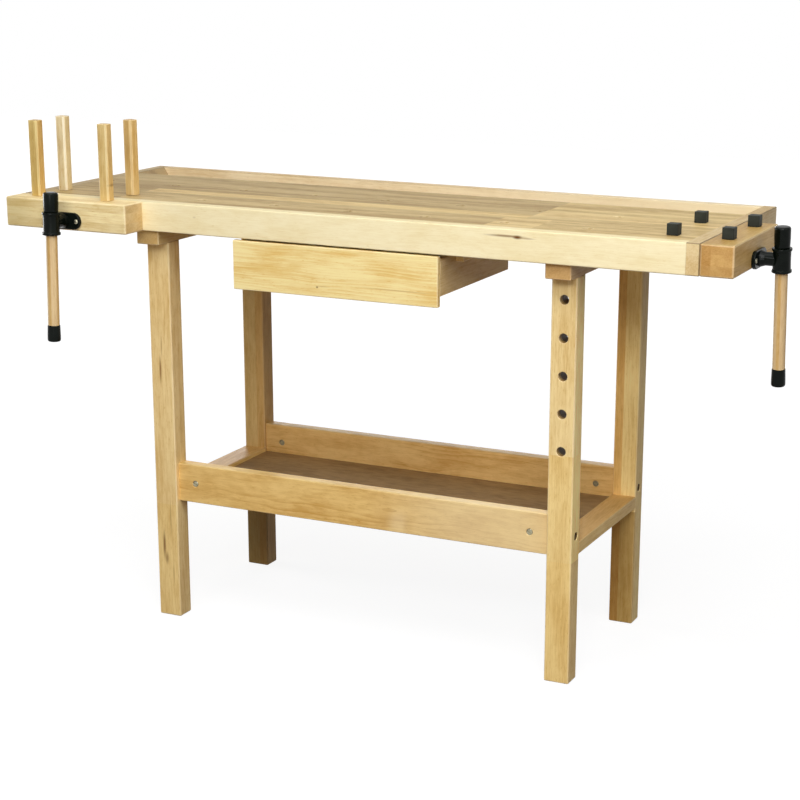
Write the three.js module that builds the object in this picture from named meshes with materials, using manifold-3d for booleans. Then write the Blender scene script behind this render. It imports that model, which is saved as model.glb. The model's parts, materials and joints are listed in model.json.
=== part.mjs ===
// Woodworking bench with a front vise, a tail vise, a tool well, a drawer and a shelf.
// Units are millimetres, +Z is up, +X runs to the right along the bench and +Y to its back.
import * as THREE from 'three';
import { mergeVertices } from 'three/addons/utils/BufferGeometryUtils.js';
import Module from 'manifold-3d';

const wasm = await Module();
wasm.setup();

// Driving dimensions: the top.
const topLength = 1372;
const topDepth = 482;
const topHeight = 850;
const apronHeight = 56;
const apronThickness = 22;
const endCapThickness = 24;
const backRailThickness = 20;
const boardThickness = 24;
const worktopDepth = 355;
const boardSeamInset = 129;
const wellDepth = 42;
const wellFloorThickness = 8;
const wellWallThickness = 9;
const wellRampRun = 26;

// Driving dimensions: the rows of round dog holes.
const dogHoleDiameter = 19;
const firstHoleInset = 48;
const lastHoleInset = 66;
const holePitch = 157;
const frontRowInset = 68.5;
const rowSpacing = 156;

// Driving dimensions: the trestles.
const legWidth = 49;
const legDepth = 40;
const leftOverhang = 246;
const rightOverhang = 234;
const legFrontInset = 49;
const legRearInset = 39;
const bearerDrop = 29;
const bearerNose = 34;
const crossRailHeight = 24;
const stretcherHeight = 78;
const stretcherThickness = 25;
const stretcherSetback = 10;
const stretcherBottom = 244;
const shelfThickness = 8;
const shelfLip = 8;
const shelfTongue = 6;
const legPegHoleDiameter = 17.5;
const legPegHoleCount = 5;
const legPegHolePitch = 69.5;
const topLegPegHole = 126;

// Driving dimensions: the bolts and barrel nuts that hold the stretchers to the legs.
const boltDiameter = 8;
const boltHeadDiameter = 13;
const boltHeadHeight = 8;
const counterboreDiameter = 15.5;
const counterboreDepth = 12;
const barrelNutDiameter = 12;
const barrelNutInset = 38;
const barrelNutSink = 0.6;
const boltEndPastNut = 5;

// Driving dimensions: the drawer and its runners.
const drawerWidth = 422;
const drawerCentre = -7;
const drawerFrontThickness = 12;
const drawerFrontHeight = 92.5;
const drawerFrontGap = 3.5;
const drawerDepth = 325;
const drawerSideThickness = 14;
const drawerSideHeight = 68;
const drawerSideRaise = 19;
const drawerBackThickness = 12;
const drawerBottomThickness = 5;
const drawerBottomRaise = 5;
const runnerThickness = 14;
const runnerSetback = 58;
const runnerTongue = 5;
const runnerTongueHeight = 8;
const runnerLipHeight = 6;

// Driving dimensions: the vises, both alike.
const jawLength = 272;
const jawThickness = 60;
const jawHoleInset = 22;
const jawHoleShift = 2;
const frontScrewDrop = 37;
const tailScrewDrop = 41;
const tailScrewShift = 3.5;
const frontHandleLean = 1.65;
const tailHandleLean = -5;
const screwDiameter = 20;
const screwReach = 200;
const guideRodDiameter = 15;
const guideRodOffset = 46;
const guideRodSeat = 40;
const flangeWidth = 76;
const flangeHeight = 32;
const flangeThickness = 7;
const flangeScrewHeadDiameter = 8.5;
const flangeScrewHeadHeight = 2.2;
const neckDiameter = 24;
const collarDiameter = 29;
const collarStand = 1;
const collarTaper = 8;
const hubReach = 44;
const hubDiameter = 31;
const hubHeight = 43;
const hubRimDiameter = 35;
const hubRimHeight = 5;
const handleDiameter = 22;
const handleLength = 278;
const topCapDiameter = 28.5;
const topCapLength = 37;
const bottomCapDiameter = 25.5;
const bottomCapLength = 32;
const capFloor = 4;
const capChamfer = 2;
const viseNutSize = 34;
const viseNutLength = 26;

// Driving dimensions: the loose pegs and dogs.
const pegSide = 22;
const pegCornerCut = 3.5;
const pegHeight = 144;
const pegShankLength = 50;
const dogSide = 21;
const dogCornerCut = 1.2;
const dogHeight = 20;
const dogShankLength = 42;
const looseChamfer = 1.5;
const jawPegTurns = { left: -2, right: 2 };
const worktopPegTurns = { left: 0, right: -11 };

// Clearances.
const seatGap = 0.3;
const runningGap = 0.05;
const slidingGap = 0.3;
const holeGap = 0.5;
const loosePegGap = 0.3;
const cutPast = 1;

// Facets of round pieces.
const roundSides = 20;
const holeSides = 16;

// A faceted bore for a round piece that turns in it: the bore's flats clear the piece's corners at any angle.
function turningBore(diameter) {
  return (diameter + 2 * runningGap) / Math.cos(Math.PI / roundSides);
}

// Derived places.
const xLeft = -topLength / 2;
const xRight = topLength / 2;
const yFront = -topDepth / 2;
const yBack = topDepth / 2;
const zTop = topHeight;
const zApron = zTop - apronHeight;
const zBoard = zTop - boardThickness;
const zBearer = zApron - bearerDrop;
const zFrontScrew = zTop - frontScrewDrop;
const zTailScrew = zTop - tailScrewDrop;
const zWell = zTop - wellDepth;
const zWellUnder = zWell - wellFloorThickness;
const xInnerLeft = xLeft + endCapThickness;
const xInnerRight = xRight - endCapThickness;
const yInnerFront = yFront + apronThickness;
const yWell = yFront + worktopDepth;
const yWellWall = yWell - wellWallThickness;
const yInnerBack = yBack - backRailThickness;
const ySeam = yFront + boardSeamInset;
const columnCount = 1 + Math.floor((topLength - firstHoleInset - lastHoleInset) / holePitch);
const holeColumns = Array.from({ length: columnCount }, (_, i) => xLeft + firstHoleInset + i * holePitch);
const yFrontRow = yFront + frontRowInset;
const yRearRow = yFrontRow + rowSpacing;
const legLeft = [xLeft + leftOverhang, xLeft + leftOverhang + legWidth];
const legRight = [xRight - rightOverhang - legWidth, xRight - rightOverhang];
const legFront = [yFront + legFrontInset, yFront + legFrontInset + legDepth];
const legRear = [yBack - legRearInset - legDepth, yBack - legRearInset];
const stretcherFront = [legFront[0] + stretcherSetback, legFront[0] + stretcherSetback + stretcherThickness];
const stretcherRear = [legRear[1] - stretcherSetback - stretcherThickness, legRear[1] - stretcherSetback];
const stretcherTop = stretcherBottom + stretcherHeight;
const zBolt = stretcherBottom + stretcherHeight / 2;
const crossRailTop = stretcherBottom + crossRailHeight;
const shelfTop = crossRailTop - shelfLip;
const hubCentre = jawThickness + hubReach;
const frontJawCentre = xLeft + jawLength / 2;
const tailJawCentre = yFront + jawLength / 2;
const tailScrewCentre = tailJawCentre + tailScrewShift;
const screwHoleDiameter = screwDiameter + 2 * holeGap;
const guideHoleDiameter = guideRodDiameter + 2 * runningGap;
const nutBoreDiameter = turningBore(screwDiameter);
const flangeBoreDiameter = turningBore(collarDiameter);
const dogShankDiameter = dogHoleDiameter - 2 * loosePegGap;

// Materials, in the colours of the bench.
function finish(color, roughness, metalness = 0) {
  return new THREE.MeshStandardMaterial({ color, roughness, metalness });
}
const paleWood = finish(0xe6cf9a, 0.55);
const warmWood = finish(0xd0aa66, 0.55);
const tanWood = finish(0xb9975c, 0.6);
const shelfBoard = finish(0x8a6a3c, 0.65);
const drawerWood = finish(0xe0c07c, 0.55);
const jawWood = finish(0xd9b876, 0.55);
const pegWood = finish(0xdcb877, 0.55);
const handleWood = finish(0xcfa670, 0.5);
const blackCasting = finish(0x17181a, 0.4, 0.3);
const blackPlastic = finish(0x1d1f21, 0.6);
const steel = finish(0x9a9c9e, 0.35, 0.9);

const bench = new THREE.Group();

// Turns a closed geometry into a solid that can be joined and cut.
function solidOf(geometry) {
  const plain = geometry.clone();
  plain.deleteAttribute('normal');
  plain.deleteAttribute('uv');
  const merged = mergeVertices(plain, 1e-4);
  const vertProperties = new Float32Array(merged.attributes.position.array);
  const triVerts = new Uint32Array(merged.index.array);
  return new wasm.Manifold(new wasm.Mesh({ numProp: 3, vertProperties, triVerts }));
}

// Turns a solid back into a geometry.
function geometryOf(solid) {
  const { vertProperties, triVerts } = solid.getMesh();
  const geometry = new THREE.BufferGeometry();
  geometry.setAttribute('position', new THREE.BufferAttribute(vertProperties, 3));
  geometry.setIndex(new THREE.BufferAttribute(triVerts, 1));
  geometry.computeVertexNormals();
  return geometry;
}

function cut(geometry, cutters) {
  return geometryOf(cutters.reduce((solid, cutter) => solid.subtract(solidOf(cutter)), solidOf(geometry)));
}

function join(geometries) {
  return geometryOf(geometries.map(solidOf).reduce((whole, solid) => whole.add(solid)));
}

// A square-edged board between two places on each axis.
function boardShape(x, y, z) {
  const geometry = new THREE.BoxGeometry(x[1] - x[0], y[1] - y[0], z[1] - z[0]);
  return geometry.translate((x[0] + x[1]) / 2, (y[0] + y[1]) / 2, (z[0] + z[1]) / 2);
}

// A round bar along an axis, from one place to another, through a point on the other two axes.
function barShape(axis, diameter, from, to, through, sides = roundSides) {
  const geometry = new THREE.CylinderGeometry(diameter / 2, diameter / 2, to - from, sides);
  const middle = (from + to) / 2;
  if (axis === 'x') {
    return geometry.rotateZ(-Math.PI / 2).translate(middle, through[0], through[1]);
  }
  if (axis === 'y') {
    return geometry.translate(through[0], middle, through[1]);
  }
  return geometry.rotateX(Math.PI / 2).translate(through[0], through[1], middle);
}

// A straight profile of (y, z) points, run along X.
function profileAlongX(points, x) {
  const shape = new THREE.Shape(points.map(([y, z]) => new THREE.Vector2(y, z)));
  const geometry = new THREE.ExtrudeGeometry(shape, { depth: x[1] - x[0], bevelEnabled: false });
  return geometry.rotateX(Math.PI / 2).rotateZ(Math.PI / 2).translate(x[0], 0, 0);
}

// A straight profile of (x, z) points, run along Y.
function profileAlongY(points, y) {
  const shape = new THREE.Shape(points.map(([x, z]) => new THREE.Vector2(x, z)));
  const geometry = new THREE.ExtrudeGeometry(shape, { depth: y[1] - y[0], bevelEnabled: false });
  return geometry.rotateX(Math.PI / 2).translate(0, y[1], 0);
}

// A turned piece about the Z axis from (radius, height) points that start and end on the axis.
function turned(points) {
  const outline = points.map(([radius, height]) => new THREE.Vector2(radius, height));
  return new THREE.LatheGeometry(outline, roundSides).rotateX(Math.PI / 2);
}

function addPiece(name, geometry, material, parent = bench) {
  const mesh = new THREE.Mesh(geometry, material);
  mesh.name = name;
  parent.add(mesh);
  return mesh;
}

// The frame of the top: apron, end caps and back rail, bored for the vises.
function buildTopFrame() {
  const viseBores = (axis, centre, zScrew, from, to) => {
    const offsets = [-guideRodOffset, 0, guideRodOffset];
    return offsets.map((offset) => barShape(
      axis,
      offset === 0 ? screwHoleDiameter : guideHoleDiameter,
      from - cutPast,
      to + cutPast,
      [centre + offset, zScrew],
    ));
  };
  const apron = boardShape([xInnerLeft, xInnerRight], [yFront, yInnerFront], [zApron, zTop]);
  const frontBores = viseBores('y', frontJawCentre, zFrontScrew, yFront, yInnerFront);
  addPiece('front_apron', cut(apron, frontBores), paleWood);
  addPiece('left_end_cap', boardShape([xLeft, xInnerLeft], [yFront, yBack], [zApron, zTop]), warmWood);
  const rightCap = boardShape([xInnerRight, xRight], [yFront, yBack], [zApron, zTop]);
  const tailBores = viseBores('x', tailScrewCentre, zTailScrew, xInnerRight, xRight);
  addPiece('right_end_cap', cut(rightCap, tailBores), warmWood);
  addPiece('back_rail', boardShape([xInnerLeft, xInnerRight], [yInnerBack, yBack], [zApron, zTop]), warmWood);
}

// The two worktop boards, each with one row of dog holes.
function buildWorktop() {
  const rowOfHoles = (y) => holeColumns.map(
    (x) => barShape('z', dogHoleDiameter, zBoard - cutPast, zTop + cutPast, [x, y], holeSides),
  );
  const frontBoard = boardShape([xInnerLeft, xInnerRight], [yInnerFront, ySeam], [zBoard, zTop]);
  addPiece('worktop_front_board', cut(frontBoard, rowOfHoles(yFrontRow)), tanWood);
  const rearBoard = boardShape([xInnerLeft, xInnerRight], [ySeam, yWell], [zBoard, zTop]);
  addPiece('worktop_rear_board', cut(rearBoard, rowOfHoles(yRearRow)), tanWood);
}

// The tool well behind the worktop: a floor with a ramp at each end, and a wall up to the worktop's underside.
function buildToolWell() {
  const outline = [
    [xInnerLeft, zWellUnder],
    [xInnerRight, zWellUnder],
    [xInnerRight, zTop],
    [xInnerRight - wellRampRun, zWell],
    [xInnerLeft + wellRampRun, zWell],
    [xInnerLeft, zTop],
  ];
  const floor = profileAlongY(outline, [yWell, yInnerBack]);
  const wall = boardShape([xInnerLeft, xInnerRight], [yWellWall, yWell], [zWellUnder, zBoard]);
  addPiece('tool_well', join([floor, wall]), tanWood);
}

// One trestle: two legs, the bearer under the top and the cross rail near the floor.
function buildTrestle(side, x, outward) {
  const boltHoles = (y) => {
    const outerFace = outward > 0 ? x[1] : x[0];
    const boreFloor = outerFace - outward * counterboreDepth;
    return [
      barShape('x', boltDiameter + 2 * holeGap, x[0] - cutPast, x[1] + cutPast, [y, zBolt], holeSides),
      barShape(
        'x',
        counterboreDiameter,
        Math.min(boreFloor, outerFace + outward * cutPast),
        Math.max(boreFloor, outerFace + outward * cutPast),
        [y, zBolt],
        holeSides,
      ),
    ];
  };
  const pegHoles = Array.from({ length: legPegHoleCount }, (_, i) => barShape(
    'y',
    legPegHoleDiameter,
    legFront[0] - cutPast,
    legFront[1] + cutPast,
    [(x[0] + x[1]) / 2, zTop - topLegPegHole - i * legPegHolePitch],
    holeSides,
  ));
  const yFrontBolt = (stretcherFront[0] + stretcherFront[1]) / 2;
  const yRearBolt = (stretcherRear[0] + stretcherRear[1]) / 2;
  const frontHoles = side === 'right' ? [...boltHoles(yFrontBolt), ...pegHoles] : boltHoles(yFrontBolt);
  addPiece(`front_${side}_leg`, cut(boardShape(x, legFront, [0, zBearer]), frontHoles), warmWood);
  addPiece(`rear_${side}_leg`, cut(boardShape(x, legRear, [0, zBearer]), boltHoles(yRearBolt)), warmWood);
  const bearerOutline = [
    [legFront[0] - bearerNose, zBearer],
    [yInnerBack, zBearer],
    [yInnerBack, zWellUnder],
    [yWellWall, zWellUnder],
    [yWellWall, zBoard],
    [yInnerFront, zBoard],
    [yInnerFront, zApron],
    [legFront[0] - bearerNose, zApron],
  ];
  addPiece(`${side}_bearer`, profileAlongX(bearerOutline, x), warmWood);
  const crossRail = boardShape(x, [legFront[1], legRear[0]], [stretcherBottom, crossRailTop]);
  addPiece(`${side}_cross_rail`, crossRail, warmWood);
}

// The stretchers between the trestles, grooved for the shelf and bored for bolts and barrel nuts.
function buildStretchers() {
  const x = [legLeft[1], legRight[0]];
  const nutPlaces = [x[0] + barrelNutInset, x[1] - barrelNutInset];
  const boreDepth = barrelNutInset + boltEndPastNut + barrelNutDiameter / 2 + cutPast;
  const groove = [shelfTop - shelfThickness - seatGap, shelfTop + seatGap];
  const stretchers = { front: stretcherFront, rear: stretcherRear };
  for (const [place, y] of Object.entries(stretchers)) {
    const middle = (y[0] + y[1]) / 2;
    const grooveDepth = shelfTongue + seatGap;
    const grooveY = place === 'front'
      ? [y[1] - grooveDepth, y[1] + cutPast]
      : [y[0] - cutPast, y[0] + grooveDepth];
    const nutHoles = nutPlaces.map((nutX) => barShape(
      'y', barrelNutDiameter + 2 * seatGap, y[0] - cutPast, y[1] + cutPast, [nutX, zBolt], holeSides,
    ));
    const boltEnds = [[x[0] - cutPast, x[0] + boreDepth], [x[1] - boreDepth, x[1] + cutPast]];
    const boltHoles = boltEnds.map(([from, to]) => barShape(
      'x', boltDiameter + 2 * holeGap, from, to, [middle, zBolt], holeSides,
    ));
    const beam = boardShape(x, y, [stretcherBottom, stretcherTop]);
    const grooveCut = boardShape([x[0] - cutPast, x[1] + cutPast], grooveY, groove);
    addPiece(`${place}_stretcher`, cut(beam, [grooveCut, ...nutHoles, ...boltHoles]), warmWood);
  }
  const shelfY = [stretcherFront[1] - shelfTongue, stretcherRear[0] + shelfTongue];
  const shelf = boardShape([x[0] + seatGap, x[1] - seatGap], shelfY, [shelfTop - shelfThickness, shelfTop]);
  addPiece('shelf', shelf, shelfBoard);
}

// One bolt through a leg and the barrel nut that it draws up in the stretcher.
function buildBolt(place, side, legX, y, outward) {
  const middle = (y[0] + y[1]) / 2;
  const outerFace = outward > 0 ? legX[1] : legX[0];
  const innerFace = outward > 0 ? legX[0] : legX[1];
  const seat = outerFace - outward * (counterboreDepth - seatGap);
  const headEnd = seat + outward * boltHeadHeight;
  const nutX = innerFace - outward * barrelNutInset;
  const tip = nutX - outward * (barrelNutDiameter / 2 + boltEndPastNut);
  const headX = [Math.min(seat, headEnd), Math.max(seat, headEnd)];
  const head = barShape('x', boltHeadDiameter, headX[0], headX[1], [middle, zBolt]);
  const shankEnd = seat + outward * cutPast;
  const shankX = [Math.min(tip, shankEnd), Math.max(tip, shankEnd)];
  const shank = barShape('x', boltDiameter, shankX[0], shankX[1], [middle, zBolt]);
  addPiece(`${place}_${side}_bolt`, join([head, shank]), steel);
  const nutY = [y[0] + barrelNutSink, y[1] - barrelNutSink];
  const nut = barShape('y', barrelNutDiameter, nutY[0], nutY[1], [nutX, zBolt], holeSides);
  const thread = barShape(
    'x',
    boltDiameter + 2 * seatGap,
    nutX - barrelNutDiameter,
    nutX + barrelNutDiameter,
    [middle, zBolt],
  );
  addPiece(`${place}_${side}_barrel_nut`, cut(nut, [thread]), steel);
}

// The drawer, hung by stopped grooves in its sides on two runners under the worktop. The runners start well
// behind the apron, which hides them from the front.
function buildDrawer() {
  const x = [drawerCentre - drawerWidth / 2, drawerCentre + drawerWidth / 2];
  const frontTop = zApron - drawerFrontGap;
  const frontBottom = frontTop - drawerFrontHeight;
  const sideBottom = frontBottom + drawerSideRaise;
  const sideTop = sideBottom + drawerSideHeight;
  const yBehindFront = yFront + drawerFrontThickness;
  const yDrawerBack = yFront + drawerDepth;
  const yRunner = yInnerFront + runnerSetback;
  const bottom = [sideBottom + drawerBottomRaise, sideBottom + drawerBottomRaise + drawerBottomThickness];
  const grooveTop = sideTop - runnerLipHeight;
  const grooveBottom = grooveTop - runnerTongueHeight - 2 * slidingGap;
  addPiece('drawer_front', boardShape(x, [yFront, yBehindFront], [frontBottom, frontTop]), drawerWood);
  const sides = { left: [x[0], x[0] + drawerSideThickness], right: [x[1] - drawerSideThickness, x[1]] };
  for (const [side, sideX] of Object.entries(sides)) {
    const outerX = side === 'left' ? sideX[0] : sideX[1];
    const inward = side === 'left' ? 1 : -1;
    const grooveX = outerX + inward * (runnerTongue + slidingGap);
    const pastX = outerX - inward * cutPast;
    const panel = boardShape(sideX, [yBehindFront, yDrawerBack], [sideBottom, sideTop]);
    const groove = boardShape(
      [Math.min(grooveX, pastX), Math.max(grooveX, pastX)],
      [yRunner - holeGap, yDrawerBack + cutPast],
      [grooveBottom, grooveTop],
    );
    addPiece(`drawer_${side}_side`, cut(panel, [groove]), warmWood);
    const tongueX = outerX + inward * runnerTongue;
    const webX = outerX - inward * slidingGap;
    const backX = webX - inward * runnerThickness;
    const tongueTop = grooveTop - slidingGap;
    const tongueBottom = tongueTop - runnerTongueHeight;
    const runnerOutline = [
      [backX, tongueBottom],
      [tongueX, tongueBottom],
      [tongueX, tongueTop],
      [webX, tongueTop],
      [webX, zBoard],
      [backX, zBoard],
    ];
    addPiece(`${side}_drawer_runner`, profileAlongY(runnerOutline, [yRunner, yDrawerBack]), warmWood);
  }
  const innerX = [x[0] + drawerSideThickness, x[1] - drawerSideThickness];
  const back = boardShape(innerX, [yDrawerBack - drawerBackThickness, yDrawerBack], [bottom[1], sideTop]);
  addPiece('drawer_back', back, warmWood);
  addPiece('drawer_bottom', boardShape(innerX, [yBehindFront, yDrawerBack], bottom), shelfBoard);
}

// A vise in its own frame: the bench face is the plane y = 0, the jaw and handle lie at negative y,
// the screw's axis is at x = 0, and its loose pegs or dogs stand in the holes named in holePlaces.
// The handle leans from upright by as much as its screw is turned at rest.
function buildVise({ name, jawMiddle, holePlaces, clampThickness, zScrew, handleLean }) {
  const vise = new THREE.Group();
  const jawX = [jawMiddle - jawLength / 2, jawMiddle + jawLength / 2];
  const jawY = [-jawThickness, -seatGap];
  const leaning = (geometry) => geometry
    .translate(0, 0, -zScrew)
    .rotateY(THREE.MathUtils.degToRad(handleLean))
    .translate(0, 0, zScrew);
  const rodSeat = -guideRodSeat;
  const jawHoles = holePlaces.map(
    (place) => barShape('z', dogHoleDiameter, zApron - cutPast, zTop + cutPast, place, holeSides),
  );
  const rodHoles = [-guideRodOffset, guideRodOffset].map((x) => barShape(
    'y', guideRodDiameter + 2 * seatGap, rodSeat - seatGap, cutPast, [x, zScrew],
  ));
  const screwHole = barShape('y', screwHoleDiameter, -jawThickness - cutPast, cutPast, [0, zScrew]);
  const jaw = boardShape(jawX, jawY, [zApron, zTop]);
  addPiece(`${name}_vise_jaw`, cut(jaw, [...jawHoles, ...rodHoles, screwHole]), jawWood, vise);

  const backEnd = clampThickness + screwReach;
  const rodSides = { left: -guideRodOffset, right: guideRodOffset };
  for (const [side, x] of Object.entries(rodSides)) {
    const rod = barShape('y', guideRodDiameter, rodSeat, backEnd, [x, zScrew]);
    addPiece(`${name}_vise_${side}_guide_rod`, rod, steel, vise);
  }

  // The nut behind the clamped board, with wings bored for the guide rods.
  const nutY = [clampThickness + seatGap, clampThickness + viseNutLength];
  const nutHalfLength = guideRodOffset + viseNutSize / 2;
  const nutTop = Math.min(zScrew + viseNutSize / 2, zBoard - seatGap);
  const nutBlock = boardShape([-nutHalfLength, nutHalfLength], nutY, [zScrew - viseNutSize / 2, nutTop]);
  const nutBores = [-guideRodOffset, 0, guideRodOffset].map((x) => barShape(
    'y',
    x === 0 ? nutBoreDiameter : guideHoleDiameter,
    nutY[0] - cutPast,
    nutY[1] + cutPast,
    [x, zScrew],
  ));
  addPiece(`${name}_vise_nut`, cut(nutBlock, nutBores), blackCasting, vise);

  // The oval flange screwed to the jaw, with the heads of its two screws.
  const flangeBack = -jawThickness - seatGap;
  const flangeFront = flangeBack - flangeThickness;
  const endRadius = flangeHeight / 2;
  const lugCentre = flangeWidth / 2 - endRadius;
  const oval = new THREE.Shape();
  oval.absarc(lugCentre, 0, endRadius, -Math.PI / 2, Math.PI / 2);
  oval.absarc(-lugCentre, 0, endRadius, Math.PI / 2, (3 * Math.PI) / 2);
  const plate = new THREE.ExtrudeGeometry(oval, {
    depth: flangeThickness,
    bevelEnabled: false,
    curveSegments: holeSides / 2,
  });
  plate.rotateX(Math.PI / 2).translate(0, flangeBack, zScrew);
  const screwHeads = [-1, 1].map((sign) => barShape(
    'y',
    flangeScrewHeadDiameter,
    flangeFront - flangeScrewHeadHeight,
    flangeFront + cutPast,
    [sign * (lugCentre + endRadius / 2), zScrew],
    holeSides,
  ));
  const flangeBore = barShape(
    'y', flangeBoreDiameter, flangeFront - cutPast, flangeBack + cutPast, [0, zScrew],
  );
  addPiece(`${name}_vise_flange`, cut(join([plate, ...screwHeads]), [flangeBore]), blackCasting, vise);

  // The screw with its cast head: collar, neck and an upright hub that holds the handle.
  const hubY = -hubCentre;
  const headOutline = [
    [0, flangeBack],
    [collarDiameter / 2, flangeBack],
    [collarDiameter / 2, flangeFront - collarStand],
    [neckDiameter / 2, flangeFront - collarStand - collarTaper],
    [neckDiameter / 2, hubY],
    [0, hubY],
  ];
  const neck = turned(headOutline.map(([radius, y]) => [radius, -y]));
  neck.rotateX(Math.PI / 2).translate(0, 0, zScrew);
  const hubOutline = [
    [0, -hubHeight / 2],
    [hubRimDiameter / 2, -hubHeight / 2],
    [hubRimDiameter / 2, -hubHeight / 2 + hubRimHeight],
    [hubDiameter / 2, -hubHeight / 2 + hubRimHeight],
    [hubDiameter / 2, hubHeight / 2 - hubRimHeight],
    [hubRimDiameter / 2, hubHeight / 2 - hubRimHeight],
    [hubRimDiameter / 2, hubHeight / 2],
    [0, hubHeight / 2],
  ];
  const hub = turned(hubOutline).translate(0, hubY, zScrew);
  const screw = barShape('y', screwDiameter, hubY, backEnd, [0, zScrew]);
  const handleBore = barShape(
    'z', handleDiameter + 2 * runningGap, zScrew - hubHeight, zScrew + hubHeight, [0, hubY],
  );
  const headAndScrew = cut(join([screw, neck, hub]), [handleBore]);
  addPiece(`${name}_vise_screw`, leaning(headAndScrew), blackCasting, vise);

  // The sliding handle hangs in the hub by its top cap.
  const topCapSeat = zScrew + hubHeight / 2 + seatGap;
  const handleTop = topCapSeat + topCapLength - capFloor;
  const handleBottom = handleTop - handleLength;
  const handle = barShape('z', handleDiameter, handleBottom, handleTop, [0, hubY]);
  addPiece(`${name}_vise_handle`, leaning(handle), handleWood, vise);
  const capHole = handleDiameter / 2 + seatGap;
  const capProfile = (diameter, length) => [
    [capHole, 0],
    [diameter / 2, 0],
    [diameter / 2, length - capChamfer],
    [diameter / 2 - capChamfer, length],
    [0, length],
    [0, length - capFloor + seatGap],
    [capHole, length - capFloor + seatGap],
    [capHole, 0],
  ];
  const topCap = turned(capProfile(topCapDiameter, topCapLength)).translate(0, hubY, topCapSeat);
  addPiece(`${name}_vise_top_cap`, leaning(topCap), blackPlastic, vise);
  const bottomCap = turned(capProfile(bottomCapDiameter, bottomCapLength)).rotateX(Math.PI);
  bottomCap.translate(0, hubY, handleBottom + bottomCapLength - capFloor);
  addPiece(`${name}_vise_bottom_cap`, leaning(bottomCap), blackPlastic, vise);
  return vise;
}

// A loose square peg with cut corners and a round shank, standing on a surface at the top's height.
function pegShape(side, cornerCut, height, shankLength) {
  const half = side / 2 - looseChamfer;
  const flat = side / 2 - cornerCut - looseChamfer * (Math.SQRT2 - 1);
  const corners = [
    [-flat, -half], [flat, -half], [half, -flat], [half, flat],
    [flat, half], [-flat, half], [-half, flat], [-half, -flat],
  ];
  const outline = new THREE.Shape(corners.map(([x, y]) => new THREE.Vector2(x, y)));
  const head = new THREE.ExtrudeGeometry(outline, {
    depth: height - 2 * looseChamfer,
    bevelThickness: looseChamfer,
    bevelSize: looseChamfer,
    bevelSegments: 1,
  });
  head.translate(0, 0, looseChamfer + seatGap);
  const shank = barShape('z', dogShankDiameter, -shankLength, seatGap + looseChamfer, [0, 0]);
  return join([head, shank]);
}

function addLoosePiece(name, geometry, material, parent, place, turn) {
  const mesh = addPiece(name, geometry, material, parent);
  mesh.position.set(place[0], place[1], zTop);
  mesh.rotation.z = THREE.MathUtils.degToRad(turn);
}

function buildLoosePieces(frontVise, tailVise) {
  const peg = () => pegShape(pegSide, pegCornerCut, pegHeight, pegShankLength);
  const dog = () => pegShape(dogSide, dogCornerCut, dogHeight, dogShankLength);
  Object.entries(worktopPegTurns).forEach(([side, turn], i) => {
    addLoosePiece(`jaw_${side}_peg`, peg(), pegWood, frontVise, frontHoles[i], jawPegTurns[side]);
    addLoosePiece(`worktop_${side}_peg`, peg(), pegWood, bench, [holeColumns[i], yFrontRow], turn);
  });
  Object.entries({ front: yFrontRow, rear: yRearRow }).forEach(([place, y], i) => {
    addLoosePiece(`jaw_${place}_dog`, dog(), blackPlastic, tailVise, tailHoles[i], 0);
    addLoosePiece(`worktop_${place}_dog`, dog(), blackPlastic, bench, [holeColumns.at(-1), y], 0);
  });
}

buildTopFrame();
buildWorktop();
buildToolWell();
buildTrestle('left', legLeft, -1);
buildTrestle('right', legRight, 1);
buildStretchers();
for (const [place, y] of Object.entries({ front: stretcherFront, rear: stretcherRear })) {
  buildBolt(place, 'left', legLeft, y, -1);
  buildBolt(place, 'right', legRight, y, 1);
}
buildDrawer();

const frontHoles = [0, 1].map((i) => [holeColumns[i] + jawHoleShift - frontJawCentre, -jawHoleInset]);
const frontVise = buildVise({
  name: 'front',
  jawMiddle: 0,
  holePlaces: frontHoles,
  clampThickness: apronThickness,
  zScrew: zFrontScrew,
  handleLean: frontHandleLean,
});
frontVise.position.set(frontJawCentre, yFront, 0);
bench.add(frontVise);

const tailHoles = [yFrontRow, yRearRow].map((y) => [y - tailScrewCentre, -jawThickness / 2]);
const tailVise = buildVise({
  name: 'tail',
  jawMiddle: -tailScrewShift,
  holePlaces: tailHoles,
  clampThickness: endCapThickness,
  zScrew: zTailScrew,
  handleLean: tailHandleLean,
});
tailVise.position.set(xRight, tailScrewCentre, 0);
tailVise.rotation.z = Math.PI / 2;
bench.add(tailVise);

buildLoosePieces(frontVise, tailVise);

// The origin is on the floor, under the middle of the whole footprint with both vises closed.
const reach = hubCentre + hubRimDiameter / 2;
bench.position.set(-(xLeft + xRight + reach) / 2, -(yFront - reach + yBack) / 2, 0);

const group = new THREE.Group();
group.add(bench);

export default group;
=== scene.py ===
# %% [markdown]
# # A joiner's bench with two vises
# The construction was made first, in real sizes, and comes in here as a fixed frame of named nodes.
# This lesson dresses that frame: every board gets eased edges and a figure of its own, every casting
# and screw gets its true round form, and a camera and soft light show the bench as on a studio page.

# %% Load the frame
import json
import math
import random

import bmesh
import bpy
from mathutils import Matrix, Vector


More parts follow.
